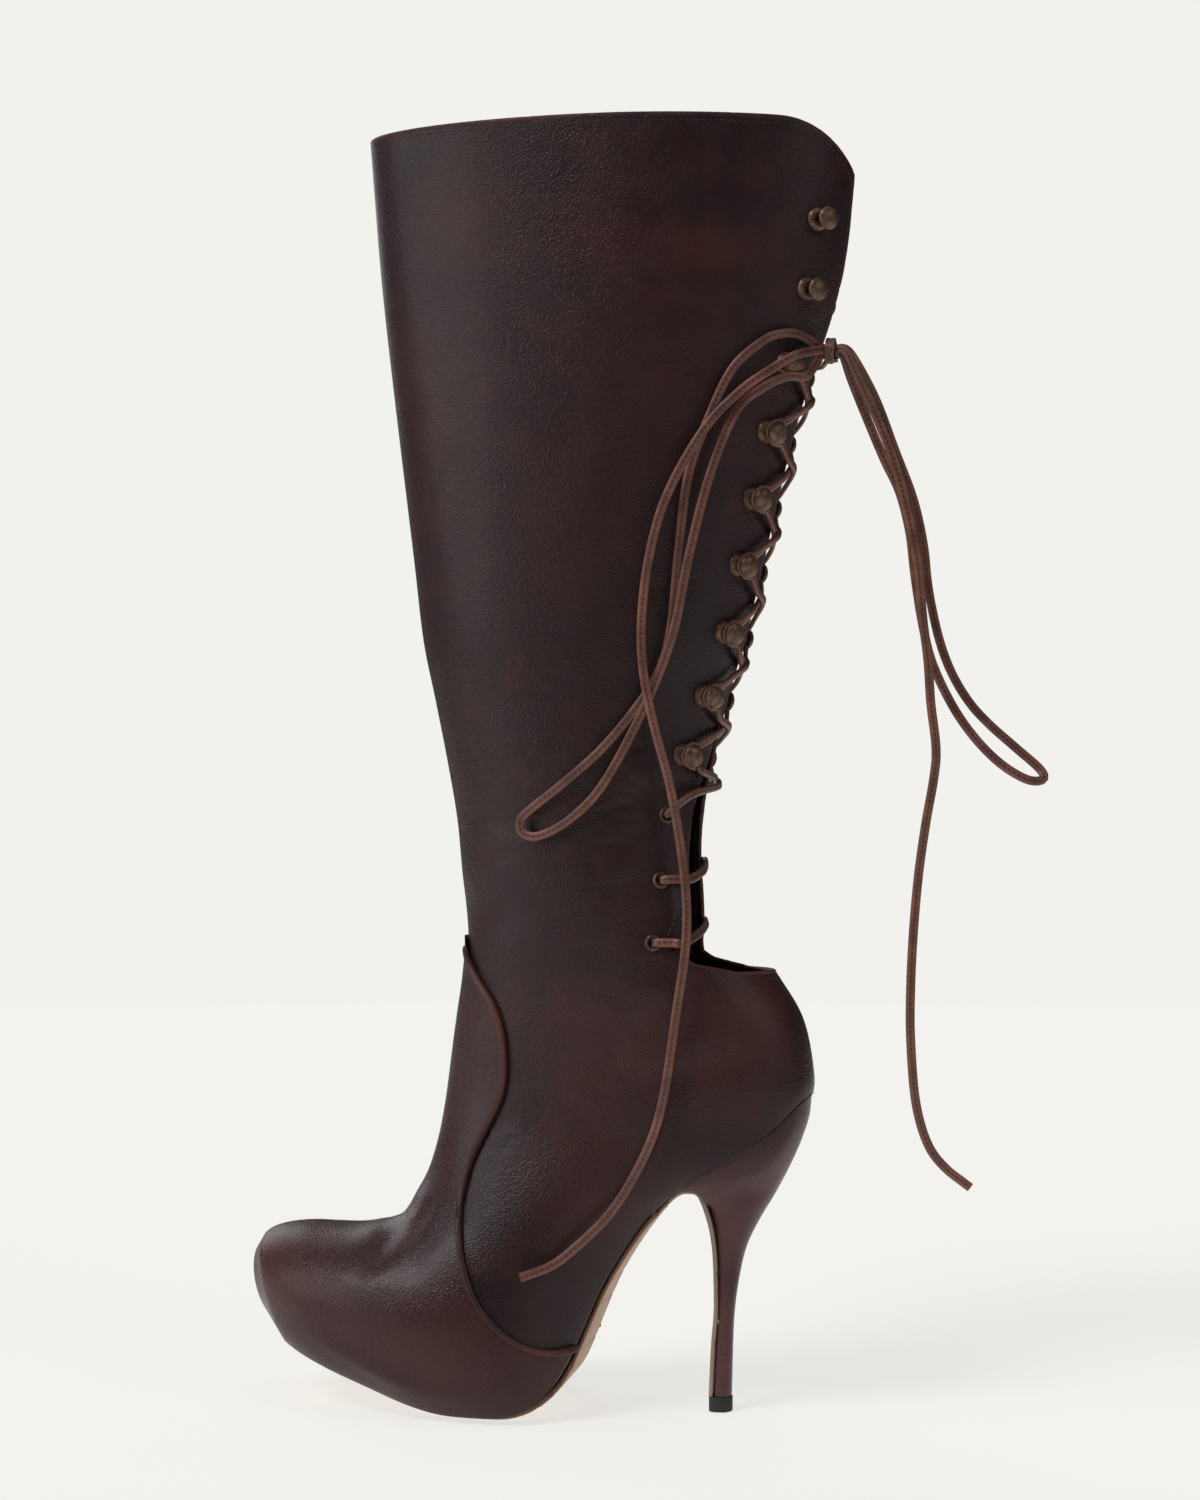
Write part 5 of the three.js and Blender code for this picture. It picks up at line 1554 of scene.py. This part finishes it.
class BOOT_OT_lacing(bpy.types.Operator):
    """Crossed lace between the hooks, and the bars through the lower eyelets"""
    bl_idname = "boot.lacing"
    bl_label = "Lacing"

    def execute(self, context):
        out = LACE_SOLID / 2 + GAP + LACE_LIFT
        strands = []
        for first in (-1, 1):
            path = []
            top = HOOK_HEIGHTS[LACED_FROM] + LACE_RISE
            if first > 0:
                path += [crossing(top, out + 1.4), over_flap(top, 5, first, out + 0.6)]
            side = first
            for i in range(LACED_FROM, len(HOOK_HEIGHTS)):
                z = HOOK_HEIGHTS[i]
                last = i == len(HOOK_HEIGHTS) - 1
                after = eyelet_height(0, -side) if last else HOOK_HEIGHTS[i + 1]
                lift = out + (LACE_LIFT if last else 0)
                path += round_hook(i, side)
                path += [over_flap(lerp(z, after, 0.34), 6, side, lift),
                         crossing(lerp(z, after, 0.5), lift + first * 0.9),
                         over_flap(lerp(z, after, 0.66), 6, -side, lift)]
                side = -side
            path.append(over_flap(eyelet_height(0, side), EYELET_INSET + 0.5, side, 0.6))
            path.append(over_flap(eyelet_height(0, side), EYELET_INSET + 0.5, side, -2.6))
            piece, _ = lace_piece(f"strand_{len(strands) + 1}", path, width=3.0 * MM)
            strands.append(piece)
        finish(merge("lacing_lace", strands), "lace_leather", "lacing")

        for row in (1, 2):
            halves = []
            for side in (-1, 1):
                z = eyelet_height(row, side)
                halves.append([
                    over_flap(z, EYELET_INSET + 0.3, side, -3.0),
                    over_flap(z, EYELET_INSET - 0.3, side, 0.9),
                    over_flap(z, 0.75 * EYELET_INSET, side, 2.6),
                    over_flap(z, 0.4 * EYELET_INSET, side, out + 0.3),
                    over_flap(z, 0.5, side, out),
                ])
            middle = (halves[0][-1] + halves[1][-1]) / 2 + Vector((BAR_BOW, 0, 0))
            piece, _ = lace_piece(f"lace_bar_{row}_lace", halves[0] + [middle] + halves[1][::-1])
            finish(piece, "lace_leather", f"lace_bar_{row}")
        return {"FINISHED"}


class BOOT_OT_bow(bpy.types.Operator):
    """The bow's knot, loops and ends"""
    bl_idname = "boot.bow"
    bl_label = "Bow"

    def execute(self, context):
        size = sizes()
        outer = Vector((0.12, -1, 0))
        knot_middle = Vector((45, -9.75, 420.8))
        for name, points in BOW.items():
            points = [Vector(p) for p in points]
            if name == "bow_knot":
                def facing(p, i):
                    return Vector((0, p.y - knot_middle.y, p.z - knot_middle.z))
                width = 2.2 * MM
                points = [knot_middle + (p - knot_middle) * Vector((0.6, 1.2, 1.2)) for p in points]
            else:
                def facing(p, i):
                    return outer
                width = size.lace_width
                for p in points:
                    if (p - knot_middle).length < 14:
                        gather = lerp(0.4, 1, smooth_step(abs(p.x - knot_middle.x), 2.5, 11))
                        p.yz = knot_middle.yz.lerp(p.yz, gather)
                points.insert(0, points[0].lerp(knot_middle, 0.6))
                if "loop" in name:
                    points.append(points[-1].lerp(knot_middle, 0.6))
            piece, path = lace_piece(f"{name}_lace", points, facing, width)
            finish(piece, "lace_leather", name)
        return {"FINISHED"}


class BOOT_OT_footbed(bpy.types.Operator):
    """The footbed inside keeps its solid and gets its lining leather"""
    bl_idname = "boot.footbed"
    bl_label = "Footbed"

    def execute(self, context):
        solid = frame["nodes"]["insole"]
        piece = solid if isinstance(solid, bpy.types.Object) else bpy.data.objects["insole"]
        for slot in piece.material_slots:
            slot.material = material("lining")
        return {"FINISHED"}


class BOOT_PT_panel(bpy.types.Panel):
    """Sizes, colours and steps of the boot"""
    bl_label = "Corset-back boot"
    bl_idname = "BOOT_PT_panel"
    bl_space_type = "VIEW_3D"
    bl_region_type = "UI"
    bl_category = "Boot"

    def draw(self, context):
        for name in BootSizes.__annotations__:
            self.layout.prop(context.scene.boot_sizes, name)
        for step in STEPS:
            self.layout.operator(step.bl_idname)


STEPS = (
    BOOT_OT_stage, BOOT_OT_materials, BOOT_OT_bow, BOOT_OT_upper, BOOT_OT_edges, BOOT_OT_vamp,
    BOOT_OT_sole, BOOT_OT_heel, BOOT_OT_hooks, BOOT_OT_eyelets, BOOT_OT_lacing, BOOT_OT_footbed,
)
CLASSES = (BootSizes, *STEPS, BOOT_PT_panel)


def register():
    for cls in CLASSES:
        bpy.utils.register_class(cls)
    bpy.types.Scene.boot_sizes = bpy.props.PointerProperty(type=BootSizes)


def unregister():
    del bpy.types.Scene.boot_sizes
    for cls in reversed(CLASSES):
        bpy.utils.unregister_class(cls)


def main():
    register()
    for step in STEPS:
        group, name = step.bl_idname.split(".")
        getattr(getattr(bpy.ops, group), name)()


if __name__ == "__main__":
    main()
